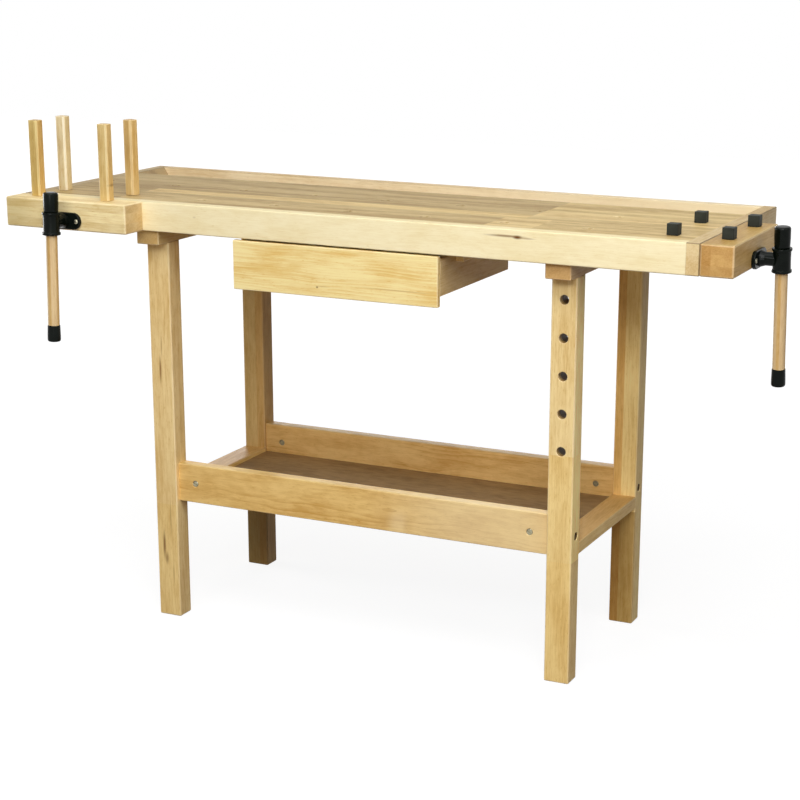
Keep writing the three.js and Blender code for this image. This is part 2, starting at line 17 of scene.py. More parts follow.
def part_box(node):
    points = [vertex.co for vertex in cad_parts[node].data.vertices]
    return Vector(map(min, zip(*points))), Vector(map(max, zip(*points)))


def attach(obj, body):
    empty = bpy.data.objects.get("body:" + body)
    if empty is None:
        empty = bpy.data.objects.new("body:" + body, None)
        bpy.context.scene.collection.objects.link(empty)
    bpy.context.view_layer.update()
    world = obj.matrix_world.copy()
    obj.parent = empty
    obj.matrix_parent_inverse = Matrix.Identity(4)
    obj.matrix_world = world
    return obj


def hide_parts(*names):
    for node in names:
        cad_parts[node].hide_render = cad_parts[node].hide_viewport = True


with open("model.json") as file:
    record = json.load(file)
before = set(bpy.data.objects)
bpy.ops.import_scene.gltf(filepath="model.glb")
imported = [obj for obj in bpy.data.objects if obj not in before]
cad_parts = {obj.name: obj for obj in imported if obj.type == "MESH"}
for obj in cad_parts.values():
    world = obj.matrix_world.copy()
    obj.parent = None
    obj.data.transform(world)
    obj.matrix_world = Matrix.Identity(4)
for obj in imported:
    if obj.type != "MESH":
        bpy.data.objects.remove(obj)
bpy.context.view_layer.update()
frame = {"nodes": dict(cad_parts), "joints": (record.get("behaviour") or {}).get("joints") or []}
MM = 0.001
print("nodes in the frame:", len(frame["nodes"]))

# %% [markdown]
# ## Camera
# The page shows the bench from its front right, a little above the worktop, through a long lens. The
# place, turn and lens come from solving the bench's known corners, and the small shift is the page's crop.

# %% Set the camera
CAMERA_PLACE = (1.55855, -3.23215, 1.3641)
CAMERA_YAW, CAMERA_PITCH, CAMERA_ROLL = 24.5252, 15.7074, 0.3418
camera_data = bpy.data.cameras.new("page_camera")
camera_data.sensor_width = 36
camera_data.lens = 85.99
camera_data.shift_x = -0.0602
camera_data.shift_y = 0.0738
camera = bpy.data.objects.new("page_camera", camera_data)
bpy.context.scene.collection.objects.link(camera)
camera.matrix_world = (
    Matrix.Translation(CAMERA_PLACE)
    @ Matrix.Rotation(math.radians(CAMERA_YAW), 4, "Z")
    @ Matrix.Rotation(math.radians(90 - CAMERA_PITCH), 4, "X")
    @ Matrix.Rotation(math.radians(CAMERA_ROLL), 4, "Z")
)
bpy.context.scene.camera = camera
bpy.context.scene.view_settings.view_transform = "Standard"
print("lens", camera_data.lens, "mm")

# %% [markdown]
# ## Node helpers
# Materials and geometry trees are both made of nodes. One helper adds a node, sets its options and
# fills its inputs, with a plain value or a link, so that the trees below read from top to bottom.

# %% Helpers for node trees
def add_node(tree, kind, inputs=None, **options):
    made = tree.nodes.new(kind)
    for name, value in options.items():
        setattr(made, name, value)
    for key, value in (inputs or {}).items():
        if isinstance(value, bpy.types.NodeSocket):
            tree.links.new(value, made.inputs[key])
        else:
            made.inputs[key].default_value = value
    return made


def math_node(tree, operation, first, second=0.0):
    return add_node(tree, "ShaderNodeMath", {0: first, 1: second}, operation=operation).outputs[0]


def new_material(name):
    material = bpy.data.materials.new(name)
    material.use_nodes = True
    tree = material.node_tree
    return material, tree, tree.nodes["Principled BSDF"]


def colour(hex_text):
    """A colour written as on a paint card, turned into the linear values that shaders use."""
    parts = [int(hex_text[i:i + 2], 16) / 255 for i in (0, 2, 4)]
    linear = [p / 12.92 if p <= 0.04045 else ((p + 0.055) / 1.055) ** 2.4 for p in parts]
    return (*linear, 1.0)


# %% [markdown]
# ## Light, floor and background
# A large soft lamp stands front left, as the bright fronts and the darker right sides of the legs show.
# A weaker one behind on the right keeps the far side readable. The floor is pale: the camera sees it
# nearly white, but it still takes the bench's soft shadow, and it throws back only a modest light.

# %% Make the lamps, the world and the floor
def add_lamp(name, place, target, size, power):
    data = bpy.data.lights.new(name, "AREA")
    data.shape = "RECTANGLE"
    data.size, data.size_y = size
    data.energy = power
    lamp = bpy.data.objects.new(name, data)
    bpy.context.scene.collection.objects.link(lamp)
    aim = (Vector(target) - Vector(place)).to_track_quat("-Z", "Y")
    lamp.matrix_world = Matrix.Translation(place) @ aim.to_matrix().to_4x4()
    return lamp


add_lamp("key_lamp", (1.7, -3.4, 2.6), (0, 0, 0.55), (1.4, 1.0), 46)
add_lamp("front_lamp", (-0.3, -4.2, 2.7), (0, 0, 0.55), (1.8, 1.0), 43)
add_lamp("low_lamp", (1.2, -4.2, 0.7), (0, 0, 0.6), (1.8, 0.8), 24)
add_lamp("high_lamp", (1.2, -2.0, 3.3), (0, 0, 0.6), (1.6, 1.2), 45)
add_lamp("top_lamp", (0, -0.6, 3.4), (0, 0, 0.5), (2.6, 2.0), 36)
add_lamp("side_lamp", (3.2, -1.2, 2.4), (0, 0, 0.6), (1.8, 1.8), 17)
add_lamp("left_lamp", (-3.4, 0.4, 0.8), (0, 0, 0.5), (1.6, 0.8), 45)
add_lamp("back_lamp", (-1.6, 3.6, 0.6), (0, 0, 0.5), (2.4, 0.6), 60)

AMBIENT = 0.02
WHITE = (1, 1, 1, 1)


def seen_directly(tree):
    """One where the camera, a mirror or a clear body looks, and zero for scattered light."""
    path = add_node(tree, "ShaderNodeLightPath").outputs
    either = math_node(tree, "MAXIMUM", path["Is Camera Ray"], path["Is Glossy Ray"])
    return math_node(tree, "MAXIMUM", either, path["Is Transmission Ray"])


world = bpy.data.worlds.new("studio_white")
world.use_nodes = True
bpy.context.scene.world = world
sky = world.node_tree
sky.nodes.clear()
soft_fill = add_node(sky, "ShaderNodeBackground", {"Color": WHITE, "Strength": AMBIENT})
page_white = add_node(sky, "ShaderNodeBackground", {"Color": WHITE, "Strength": 1.0})
sky_mix = add_node(sky, "ShaderNodeMixShader", {
    0: seen_directly(sky), 1: soft_fill.outputs[0], 2: page_white.outputs[0],
})
add_node(sky, "ShaderNodeOutputWorld", {"Surface": sky_mix.outputs[0]})

FLOOR_SIZE = 16
FLOOR_GLOW_NEAR, FLOOR_GLOW_FAR = 0.82, 1.0
floor_material = bpy.data.materials.new("pale_floor")
floor_material.use_nodes = True
floor_tree = floor_material.node_tree
floor_tree.nodes.clear()
floor_place = add_node(floor_tree, "ShaderNodeTexCoord").outputs["Object"]
floor_reach = add_node(floor_tree, "ShaderNodeVectorMath", {0: floor_place}, operation="LENGTH")
floor_share = add_node(floor_tree, "ShaderNodeMapRange", {
    "Value": floor_reach.outputs["Value"], 1: 1.0, 2: 3.2, 3: FLOOR_GLOW_NEAR, 4: FLOOR_GLOW_FAR,
}).outputs[0]
floor_bounce = add_node(floor_tree, "ShaderNodeBsdfDiffuse", {"Color": colour("5E4526")})
floor_matte = add_node(floor_tree, "ShaderNodeBsdfDiffuse", {"Color": colour("FAFAFA")})
floor_glow = add_node(floor_tree, "ShaderNodeEmission", {"Color": WHITE, "Strength": 1.08})
floor_page = add_node(floor_tree, "ShaderNodeMixShader", {
    0: floor_share, 1: floor_matte.outputs[0], 2: floor_glow.outputs[0],
})
floor_mix = add_node(floor_tree, "ShaderNodeMixShader", {
    0: seen_directly(floor_tree), 1: floor_bounce.outputs[0], 2: floor_page.outputs[0],
})
add_node(floor_tree, "ShaderNodeOutputMaterial", {"Surface": floor_mix.outputs[0]})
floor_mesh = bpy.data.meshes.new("floor")
half = FLOOR_SIZE / 2
floor_mesh.from_pydata(
    [(-half, -half, 0), (half, -half, 0), (half, half, 0), (-half, half, 0)], [], [(0, 1, 2, 3)]
)
floor_mesh.transform(Matrix.Translation((0, 0, -0.3 * MM)))
floor_mesh.materials.append(floor_material)
floor = bpy.data.objects.new("floor", floor_mesh)
bpy.context.scene.collection.objects.link(floor)
print("two lamps, a white world and a floor of", FLOOR_SIZE, "m")

# %% [markdown]
# ## The figure of the wood
# Each board carries four attributes. "grain" is the place in the board's own log, with X along the
# fibres, "tint" tells one glued strip from the next and also carries painted shade and light on tops, bores
# and some faces, "end" says where the fibres are cut across, and "edge" marks the eased edges.
# The finish draws growth rings round the log's heart, streaks and pores drawn out along the fibres, and
# any knots at places given in the bench's frame. Being solid, the figure runs true from face to end.

# %% The wood finish
def drawn_out_noise(tree, grain, length, width, detail=2.0):
    """Noise whose marks are so long along the fibres and so wide across them, in metres."""
    stretch = (1 / length, 1 / width, 1 / width)
    scaled = add_node(tree, "ShaderNodeVectorMath", {0: grain, 1: stretch}, operation="MULTIPLY")
    noise = add_node(
        tree, "ShaderNodeTexNoise", {"Vector": scaled.outputs[0], "Scale": 1.0, "Detail": detail}
    )
    return noise.outputs["Fac"]


def rescale(tree, value, low, high, to_low=0.0, to_high=1.0):
    limits = {"Value": value, 1: low, 2: high, 3: to_low, 4: to_high}
    return add_node(tree, "ShaderNodeMapRange", limits, interpolation_type="SMOOTHSTEP").outputs[0]


def mix_colour(tree, factor, first, second, blend="MIX"):
    made = add_node(
        tree, "ShaderNodeMix", {0: factor, 6: first, 7: second}, data_type="RGBA", blend_type=blend
    )
    return made.outputs[2]


def knot_mask(tree, place, size):
    """One at a knot's heart and zero outside it. The size is its reach on each axis."""
    where = add_node(tree, "ShaderNodeTexCoord").outputs["Object"]
    local = add_node(tree, "ShaderNodeVectorMath", {0: where, 1: place}, operation="SUBTRACT")
    share = add_node(tree, "ShaderNodeVectorMath", {0: local.outputs[0], 1: size}, operation="DIVIDE")
    far = add_node(tree, "ShaderNodeVectorMath", {0: share.outputs[0]}, operation="LENGTH")
    return rescale(tree, far.outputs["Value"], 1.0, 0.15)


def weighted_sum(tree, start, terms):
    total = start
    for value, weight in terms:
        total = math_node(tree, "ADD", math_node(tree, "MULTIPLY", value, weight), total)
    return total


def swing(tree, noise):
    """A noise stretched to run from about minus a half to plus a half."""
    return rescale(tree, noise, 0.28, 0.72, -0.5, 0.5)


def wood_finish(name, pale, brown, cloud_size=(0.15, 0.04), cloud=0.35, mottle=0.16, line=0.2, ring=0.15, ring_pitch=6 * MM, streak=0.1,
                roughness=0.48, marks=(), edge_wear_and_shade=("FFF4DA", 0.22), sheen=0.2, cut_share=0.3):
    material, tree, shader = new_material(name)
    straight = add_node(tree, "ShaderNodeAttribute", attribute_name="grain").outputs["Vector"]
    tint = add_node(tree, "ShaderNodeAttribute", attribute_name="tint").outputs["Color"]
    end = add_node(tree, "ShaderNodeAttribute", attribute_name="end").outputs["Fac"]
    edge = add_node(tree, "ShaderNodeAttribute", attribute_name="edge").outputs["Fac"]

    # Fibres wander, so the place in the log is pushed about a little before anything is drawn there.
    coarse = add_node(tree, "ShaderNodeVectorMath", {0: straight, 1: (6, 18, 18)}, operation="MULTIPLY")
    push = add_node(tree, "ShaderNodeTexNoise", {"Vector": coarse.outputs[0], "Scale": 1.0, "Detail": 1.0})
    centred = add_node(
        tree, "ShaderNodeVectorMath", {0: push.outputs["Color"], 1: (0.5, 0.5, 0.5)}, operation="SUBTRACT"
    )
    wander = add_node(
        tree, "ShaderNodeVectorMath", {0: centred.outputs[0], 1: (0, 0.014, 0.014)}, operation="MULTIPLY"
    )
    grain = add_node(tree, "ShaderNodeVectorMath", {0: straight, 1: wander.outputs[0]}, operation="ADD").outputs[0]

    # Growth rings about the log's heart, with a soft dark line where each ring ends. They come and go.
    log = add_node(tree, "ShaderNodeVectorMath", {0: grain, 1: (0.07, 1, 1)}, operation="MULTIPLY")
    saw = add_node(tree, "ShaderNodeTexWave", {
        "Vector": log.outputs[0], "Scale": 0.314 / ring_pitch, "Distortion": 4.0, "Detail": 2.0,
        "Detail Scale": 0.3,
    }, wave_type="RINGS", rings_direction="X", wave_profile="SAW").outputs["Fac"]
    presence = rescale(tree, drawn_out_noise(tree, grain, 0.22, 0.05), 0.38, 0.66)
    late = math_node(tree, "MULTIPLY", math_node(tree, "POWER", saw, 2.5), presence)

    # Clouds and mottling of tone, fine lines, a few long streaks, fibres and short pores.
    clouds = swing(tree, drawn_out_noise(tree, grain, *cloud_size))
    mottling = swing(tree, drawn_out_noise(tree, grain, 0.026, 0.009, 3.0))
    lines = swing(tree, drawn_out_noise(tree, grain, 0.2, 0.003, 3.0))
    streaks = rescale(tree, drawn_out_noise(tree, grain, 0.3, 0.005), 0.58, 0.76)
    fibres = drawn_out_noise(tree, grain, 0.03, 0.0011, 3.0)
    pores = rescale(tree, drawn_out_noise(tree, grain, 0.009, 0.0012, 1.0), 0.62, 0.76)

    # The weights swing about 0.42, so that pale and brown are the board's real extremes.
    level = 0.4 - 0.15 * ring - 0.1 * streak
    figure = weighted_sum(tree, level, [
        (clouds, cloud), (mottling, mottle), (lines, line), (late, ring), (streaks, streak),
        (swing(tree, fibres), 0.2), (pores, 0.3),
    ])
    figure = rescale(tree, figure, 0.0, 1.0)
    body = mix_colour(tree, figure, colour(pale), colour(brown))

    # Cut ends drink more finish and turn darker. Eased edges take a tint: pale wear on most boards, a dark edge on the
    # back rail that is painted shade, and dark edges on the caps that are partly dark joints and partly painted shade.
    cut = mix_colour(tree, 0.72, body, colour("C79A5C"), "MULTIPLY")
    body = mix_colour(tree, math_node(tree, "MULTIPLY", end, cut_share), body, cut)
    body = mix_colour(tree, math_node(tree, "MULTIPLY", edge, edge_wear_and_shade[1]), body, colour(edge_wear_and_shade[0]))
    body = mix_colour(tree, 1.0, body, tint, "MULTIPLY")
    for place, size, strength, hex_text in marks:
        share = math_node(tree, "MULTIPLY", knot_mask(tree, place, size), strength)
        body = mix_colour(tree, share, body, colour(hex_text))
    tree.links.new(body, shader.inputs["Base Color"])

    rough = rescale(tree, fibres, 0.2, 0.8, roughness - 0.07, roughness + 0.09)
    tree.links.new(rough, shader.inputs["Roughness"])
    relief = math_node(tree, "SUBTRACT", fibres, math_node(tree, "MULTIPLY", pores, 0.8))
    bump = add_node(tree, "ShaderNodeBump", {"Height": relief, "Strength": 0.12, "Distance": 0.4 * MM})
    tree.links.new(bump.outputs[0], shader.inputs["Normal"])
    shader.inputs["Specular IOR Level"].default_value = sheen
    return material


# %% [markdown]
# ## Building boards
# A board is a box with eased edges. Free edges are rounded by about 2 mm, and edges glued to a neighbour
# only by a hair, so that joints show as fine lines. A Bevel modifier reads a weight from each edge, and a
# Boolean cuts the bores afterwards, so their rims stay crisp. The result is kept as a plain mesh.

# %% Helpers for boards
SIDES = {"-x": (0, 0), "+x": (0, 1), "-y": (1, 0), "+y": (1, 1), "-z": (2, 0), "+z": (2, 1)}
GLUED_SHARE = 0.15
HAIR = 0.5 * MM
BORE_DEPTH = 3 * MM


def new_piece(name, mesh):
    piece = bpy.data.objects.new(name, mesh)
    bpy.context.scene.collection.objects.link(piece)
    return piece


def mesh_from(bm, name):
    mesh = bpy.data.meshes.new(name)
    bm.to_mesh(mesh)
    bm.free()
    return mesh


def settle(piece):
    """Replaces a piece's mesh by what its modifiers make, and removes them."""
    depsgraph = bpy.context.evaluated_depsgraph_get()
    evaluated = piece.evaluated_get(depsgraph)
    mesh = bpy.data.meshes.new_from_object(evaluated, preserve_all_data_layers=True, depsgraph=depsgraph)
    piece.modifiers.clear()
    piece.data = mesh
    return piece


def smooth(piece, angle=35):
    piece.data.shade_smooth()
    piece.data.set_sharp_from_angle(angle=math.radians(angle))
    piece.modifiers.new("even faces", "WEIGHTED_NORMAL").keep_sharp = True
    return settle(piece)


def box_shape(low, high):
    bm = bmesh.new()
    bmesh.ops.create_cube(bm, size=1)
    bmesh.ops.scale(bm, vec=Vector(high) - Vector(low), verts=bm.verts)
    bmesh.ops.translate(bm, vec=(Vector(low) + Vector(high)) / 2, verts=bm.verts)
    return bm


def cad_copy(node):
    bm = bmesh.new()
    bm.from_mesh(frame["nodes"][node].data)
    bmesh.ops.remove_doubles(bm, verts=bm.verts, dist=0.01 * MM)
    bmesh.ops.dissolve_limit(bm, angle_limit=math.radians(1), verts=bm.verts, edges=bm.edges)
    return bm


def weigh_edges(bm, glued):
    """Sharp edges are eased in full, or by a hair where they lie on a glued side."""
    corners = [v.co for v in bm.verts]
    low = [min(c[i] for c in corners) for i in range(3)]
    high = [max(c[i] for c in corners) for i in range(3)]
    layer = bm.edges.layers.float.new("bevel_weight_edge")
    for edge in bm.edges:
        if edge.calc_face_angle(0) < math.radians(30):
            continue
        edge[layer] = 1.0
        for side in glued:
            axis, top = SIDES[side]
            limit = (low, high)[top][axis]
            if all(abs(v.co[axis] - limit) < 0.01 * MM for v in edge.verts):
                edge[layer] = GLUED_SHARE


def split_at(bm, cuts):
    """Splits the faces of a board along planes, given as (axis, place), for its glued strips."""
    corners = [v.co.copy() for v in bm.verts]
    for axis, place in cuts:
        if not min(c[axis] for c in corners) + HAIR < place < max(c[axis] for c in corners) - HAIR:
            continue
        normal = [0, 0, 0]
        normal[axis] = 1
        point = [0, 0, 0]
        point[axis] = place
        geometry = bm.verts[:] + bm.edges[:] + bm.faces[:]
        bmesh.ops.bisect_plane(bm, geom=geometry, plane_co=point, plane_no=normal)


def ease_edges(piece, radius):
    bevel = piece.modifiers.new("eased edges", "BEVEL")
    bevel.limit_method = "WEIGHT"
    bevel.width = radius
    bevel.segments = 3
    bevel.use_clamp_overlap = True


def bore(piece, cutters):
    for cutter in cutters:
        modifier = piece.modifiers.new("bore", "BOOLEAN")
        modifier.operation = "DIFFERENCE"
        modifier.solver = "EXACT"
        modifier.object = cutter


def times(tint, shade):
    return tuple(t * s for t, s in zip(tint, shade))


def lay_grain(piece, along, seed, strips=None, painted_bore_shade=None, painted_top_shade=(1, 1, 1), heart=None):
    """Writes where each corner lies in the board's log, and the tint of its strip, with painted shade in its bores and
    on its top.
    """
    draw = random.Random(seed)
    mesh = piece.data
    axes = (along, (along + 1) % 3, (along + 2) % 3)
    corners = [v.co for v in mesh.vertices]
    low = [min(c[i] for c in corners) for i in range(3)]
    high = [max(c[i] for c in corners) for i in range(3)]
    middle = [(low[i] + high[i]) / 2 for i in range(3)]
    start = draw.uniform(0, 9)
    away = (draw.choice((-1, 1)) * draw.uniform(0.03, 0.09), draw.uniform(0.035, 0.11))
    heart = heart or away
    values = {"grain": [], "tint": [], "end": [], "edge": []}
    for polygon in mesh.polygons:
        shift, tint = strips(polygon.center) if strips else (0.0, (1, 1, 1))
        depth = min(min(polygon.center[i] - low[i], high[i] - polygon.center[i]) for i in range(3))
        # Faces deep in a bore take the painted shade of the bore, and upward faces take the painted shade of the top.
        if painted_bore_shade and depth > BORE_DEPTH:
            tint = painted_bore_shade(polygon.center)
        elif polygon.normal.z > 0.7:
            tint = times(tint, painted_top_shade)
        across_fibres = 1.0 if abs(polygon.normal[along]) > 0.8 else 0.0
        slanted = 1.0 if max(abs(n) for n in polygon.normal) < 0.97 else 0.0
        for vertex in polygon.vertices:
            local = [mesh.vertices[vertex].co[a] - middle[a] for a in axes]
            values["grain"] += [local[0] + start + 1.7 * shift]
            values["grain"] += [local[1] + heart[0], local[2] + heart[1] + 0.06 * shift]
            values["tint"] += tint
            values["end"].append(across_fibres)
            values["edge"].append(slanted)
    for name, numbers in values.items():
        vector = name in ("grain", "tint")
        layer = mesh.attributes.new(name, "FLOAT_VECTOR" if vector else "FLOAT", "CORNER")
        layer.data.foreach_set("vector" if vector else "value", numbers)
    return piece


def dress(piece, body, finish, nodes):
    piece.data.materials.clear()
    piece.data.materials.append(finish)
    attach(piece, body)
    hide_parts(*nodes)
    return piece


print("board helpers ready")

# %% [markdown]
# ## Round pieces
# Handles, caps, hubs and bores are turned, so one helper spins a profile of (radius, distance) points
# about any axis. Writing the rings directly gives clean quads, closed ends and outward faces.

# %% Helper for turned pieces
TURNED_SIDES = 48


def turned_shape(bm, profile, start, direction, sides=TURNED_SIDES):
    """Adds a turned body whose profile runs from the axis, along the direction, back to the axis."""
    turn = Vector(direction).to_track_quat("Z", "Y").to_matrix()
    rings = []
    for radius, distance in profile:
        count = sides if radius > 1e-9 else 1
        ring = []
        for step in range(count):
            angle = 2 * math.pi * step / sides
            local = Vector((radius * math.cos(angle), radius * math.sin(angle), distance))
            ring.append(bm.verts.new(Vector(start) + turn @ local))
        rings.append(ring)
    for first, second in zip(rings, rings[1:]):
        for step in range(sides):
            after = (step + 1) % sides
            quad = [first[step % len(first)], first[after % len(first)]]
            quad += [second[after % len(second)], second[step % len(second)]]
            corners = list(dict.fromkeys(quad))
            if len(corners) > 2:
                bm.faces.new(corners)
    bmesh.ops.recalc_face_normals(bm, faces=bm.faces)
    return bm


# %% [markdown]
# ## Rows of bores
# The worktop has two rows of dog holes and the right front leg a column of peg holes. A geometry tree
# repeats one bore along a line: its inputs are the count, the first place and the step. The tree's result
# is made a plain mesh and then used as a cutter.

# %% The tree that repeats a bore
def make_row_tree():
    tree = bpy.data.node_groups.new("row_of_bores", "GeometryNodeTree")
    for name, kind in (
        ("Pattern", "NodeSocketObject"),
        ("Count", "NodeSocketInt"),
        ("First place", "NodeSocketVector"),
        ("Step", "NodeSocketVector"),
        ("Finish", "NodeSocketMaterial"),
    ):
        tree.interface.new_socket(name=name, in_out="INPUT", socket_type=kind)
    tree.interface.new_socket(name="Geometry", in_out="OUTPUT", socket_type="NodeSocketGeometry")
    given = add_node(tree, "NodeGroupInput").outputs
    line = add_node(tree, "GeometryNodeMeshLine", {
        "Count": given["Count"], "Start Location": given["First place"], "Offset": given["Step"],
    })
    one = add_node(tree, "GeometryNodeObjectInfo", {"Object": given["Pattern"]})
    copies = add_node(tree, "GeometryNodeInstanceOnPoints", {
        "Points": line.outputs[0], "Instance": one.outputs["Geometry"],
    })
    real = add_node(tree, "GeometryNodeRealizeInstances", {"Geometry": copies.outputs[0]})
    coated = add_node(tree, "GeometryNodeSetMaterial", {
        "Geometry": real.outputs[0], "Material": given["Finish"],
    })
    add_node(tree, "NodeGroupOutput", {"Geometry": coated.outputs[0]})
    return tree


row_tree = make_row_tree()


def run_tree(name, tree, values):
    """Makes a plain mesh piece from a geometry tree, with its inputs set by name."""
    piece = new_piece(name, bpy.data.meshes.new(name))
    modifier = piece.modifiers.new("tree", "NODES")
    modifier.node_group = tree
    for item in tree.interface.items_tree:
        if item.in_out == "INPUT" and item.name in values:
            modifier[item.identifier] = values[item.name]
    bpy.context.view_layer.update()
    return settle(piece)


MOUTH = 0.9 * MM


def bore_row(first, step, count, diameter, direction, depth, finish, rings=()):
    """Cutters for a row of bores with eased mouths, from the surface inwards, ringed at some depths."""
    radius = diameter / 2
    wide = radius + 2 * MOUTH
    profile = [(0, -MOUTH), (wide, -MOUTH), (radius, MOUTH)] + [(radius, ring) for ring in rings]
    profile += [(radius, depth - MOUTH), (wide, depth + MOUTH), (0, depth + MOUTH)]
    bm = turned_shape(bmesh.new(), profile, (0, 0, 0), direction)
    pattern = new_piece("bore_pattern", mesh_from(bm, "bore_pattern"))
    row = run_tree("bore_row", row_tree, {
        "Pattern": pattern, "Count": count, "First place": first, "Step": step, "Finish": finish,
    })
    bpy.data.objects.remove(pattern)
    row.hide_render = True
    return row


def middle_of(node):
    low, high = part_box(node)
    return (low + high) / 2


print("row tree inputs:", [i.name for i in row_tree.interface.items_tree if i.in_out == "INPUT"])

# %% [markdown]
# ## Where things are on the bench
# Marks such as knots are given in millimetres from the middle of the top, with heights from the floor,
# as one would note them down with a rule. This helper turns them into the frame's metres.

# %% Measure from the middle of the top
left_low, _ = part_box("left_end_cap")
_, right_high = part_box("right_end_cap")
TOP_MIDDLE = ((left_low + right_high) / 2).xy


def on_bench(x, y, z):
    return (TOP_MIDDLE.x + x * MM, TOP_MIDDLE.y + y * MM, z * MM)


def mark(x, y, z, size, strength, hex_text="6B431D"):
    return on_bench(x, y, z), tuple(s * MM for s in size), strength, hex_text


print("middle of the top:", tuple(round(v, 4) for v in TOP_MIDDLE))

# %% [markdown]
# ## Finishes
# The bench is clear-lacquered pale hardwood, but no two boards agree: the apron is cream, the worktop tan,
# the legs honey, and the shelf is a brown sheet. Each gets its own pair of colours, pale and brown.

# %% Make the wood finishes
APRON_MARKS = [
    mark(356, -241, 836.5, (12, 8, 4.6), 1.0, "5A3616"),
    mark(334, -241, 837.6, (52, 8, 3.2), 0.75, "7A5226"),
    mark(372, -241, 835.5, (24, 8, 2.2), 0.5, "8A6030"),
    mark(-300, -241, 827, (5, 6, 2.5), 0.25, "9A7A4A"),
]
LEFT_LEG_MARKS = [
    mark(-419, -192, 512, (3.4, 5, 38), 0.85, "8E5F2A"),
    mark(-415, -192, 560, (2.2, 5, 30), 0.5, "9A6C32"),
    mark(-424, -192, 150, (4.5, 5, 40), 0.85, "80552A"),
    mark(-419, -192, 122, (5.5, 5, 18), 0.6, "80552A"),
    mark(-407, -192, 205, (2.0, 5, 46), 0.5, "9A6C32"),
    mark(-404, -192, 90, (2.0, 5, 30), 0.4, "9A6C32"),
]
DRAWER_MARKS = [
    mark(-40, -241, 716, (3.2, 5, 3.0), 0.75),
    mark(-29, -241, 718, (20, 5, 2.0), 0.3, "A9803F"),
    mark(120, -241, 723, (95, 5, 1.8), 0.5, "B98A45"),
]
PEG_MARKS = [mark(-471, -262, 880, (6, 14, 5), 0.8)]
JAW_MARKS = [mark(-690, -301, 815, (120, 30, 90), 0.42, "A8914E")]
STRETCHER_MARKS = [
    mark(290, -182, 283, (300, 40, 260), 0.36, "FFF0C8"),
    mark(96, -182, 264, (34, 40, 34), 0.2, "FFF0C8"),
    mark(66, -182, 276, (26, 40, 36), 0.25, "C08A3E"),
    mark(116, -182, 260, (14, 40, 26), 0.18, "C08A3E"),
]
RAIL_MARKS = [mark(560, 200, 850, (620, 90, 120), 0.7, "F2E2BC")]
pale_wood = wood_finish("pale_wood", "FFF3CB", "EDD9A2", cloud=0.3, line=0.1, ring=0.12, streak=0.03,
                        edge_wear_and_shade=("FFF4DA", 0.05), marks=APRON_MARKS)
# The back rail's dark edge tint is painted shade; the caps' dark edges are partly dark joints and partly painted
# shade.
rail_wood = wood_finish("rail_wood", "F5E3BF", "D7BB8B", edge_wear_and_shade=("8A6A40", 0.3), marks=RAIL_MARKS)
cap_wood = wood_finish("cap_wood", "E8D2A2", "C9A568", edge_wear_and_shade=("4A341C", 0.6), cut_share=0.0)
tan_wood = wood_finish("tan_wood", "D3BB87", "9E804D", cloud_size=(0.36, 0.03), cloud=0.55, line=0.18, streak=0.05,
                       sheen=0.08)
leg_wood = wood_finish("leg_wood", "FBE0A0", "D3AA60", cloud=0.3)
left_leg_wood = wood_finish("left_leg_wood", "FFE4A7", "D7AD64", cloud=0.3, marks=LEFT_LEG_MARKS)
stretcher_wood = wood_finish("stretcher_wood", "FAD78E", "D2A152", mottle=0.2, line=0.08, ring=0.34,
                             ring_pitch=5 * MM, streak=0.0, edge_wear_and_shade=("FFF4DA", 0.1), marks=STRETCHER_MARKS)
drawer_wood = wood_finish("drawer_wood", "FFECAC", "E7BE6A", cloud=0.45, mottle=0.1, line=0.36, marks=DRAWER_MARKS)
jaw_wood = wood_finish("jaw_wood", "FFF0C0", "DCBE7C", line=0.15, streak=0.05, marks=JAW_MARKS,
                       cut_share=0.55)
tail_jaw_wood = wood_finish("tail_jaw_wood", "E0BF80", "BC9150", cut_share=0.45)
peg_wood = wood_finish("peg_wood", "E6C892", "C0934F", marks=PEG_MARKS)
handle_wood = wood_finish("handle_wood", "E3C285", "C39653")
shelf_board = wood_finish("shelf_board", "A48458", "795D39", mottle=0.35, line=0.05, ring=0.05, streak=0.0,
                          roughness=0.55)
print("wood finishes:", [m.name for m in bpy.data.materials if "wood" in m.name or "board" in m.name])

# %% [markdown]
# ## One call for a board
# Everything a board needs comes together here: its box or its outline from the frame, the lines of its
# glued strips, the edges, the bores, the grain and the body that it rides on.

# %% Build a board
def board(node, body, finish, along, glued=(), radius=2 * MM, cuts=(), strips=None, cutters=(), bm=None,
          painted_bore_shade=None, painted_top_shade=(1, 1, 1), heart=None):
    bm = bm or box_shape(*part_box(node))
    split_at(bm, cuts)
    weigh_edges(bm, glued)
    piece = new_piece(node + "_dressed", mesh_from(bm, node))
    ease_edges(piece, radius)
    bore(piece, cutters)
    settle(piece)
    for cutter in cutters:
        bpy.data.objects.remove(cutter)
    smooth(piece)
    lay_grain(piece, along, node, strips, painted_bore_shade, painted_top_shade, heart)
    return dress(piece, body, finish, [node])


X, Y, Z = 0, 1, 2

# %% [markdown]
# ## The frame of the top
# An apron, two end caps and a back rail stand on edge round the worktop. The apron and the right cap are
# bored for a vise: a hole for the screw and two for the guide rods, which show when the jaws are wound out.

# %% Dress the top frame
SCREW_HOLE = 21 * MM
ROD_HOLE = 15.2 * MM


def vise_bores(vise, inward, depth, finish):
    """Cutters through the board behind a jaw, for the screw and the two guide rods."""
    left = middle_of(f"{vise}_vise_left_guide_rod")
    right = middle_of(f"{vise}_vise_right_guide_rod")
    board_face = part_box("front_apron")[0].y if vise == "front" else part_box("right_end_cap")[1].x
    axis = Y if vise == "front" else X
    for point in (left, right):
        point[axis] = board_face
    rods = bore_row(left, right - left, 2, ROD_HOLE, inward, depth, finish)
    screw = bore_row((left + right) / 2, (0, 0, 0), 1, SCREW_HOLE, inward, depth, finish)
    return [rods, screw]


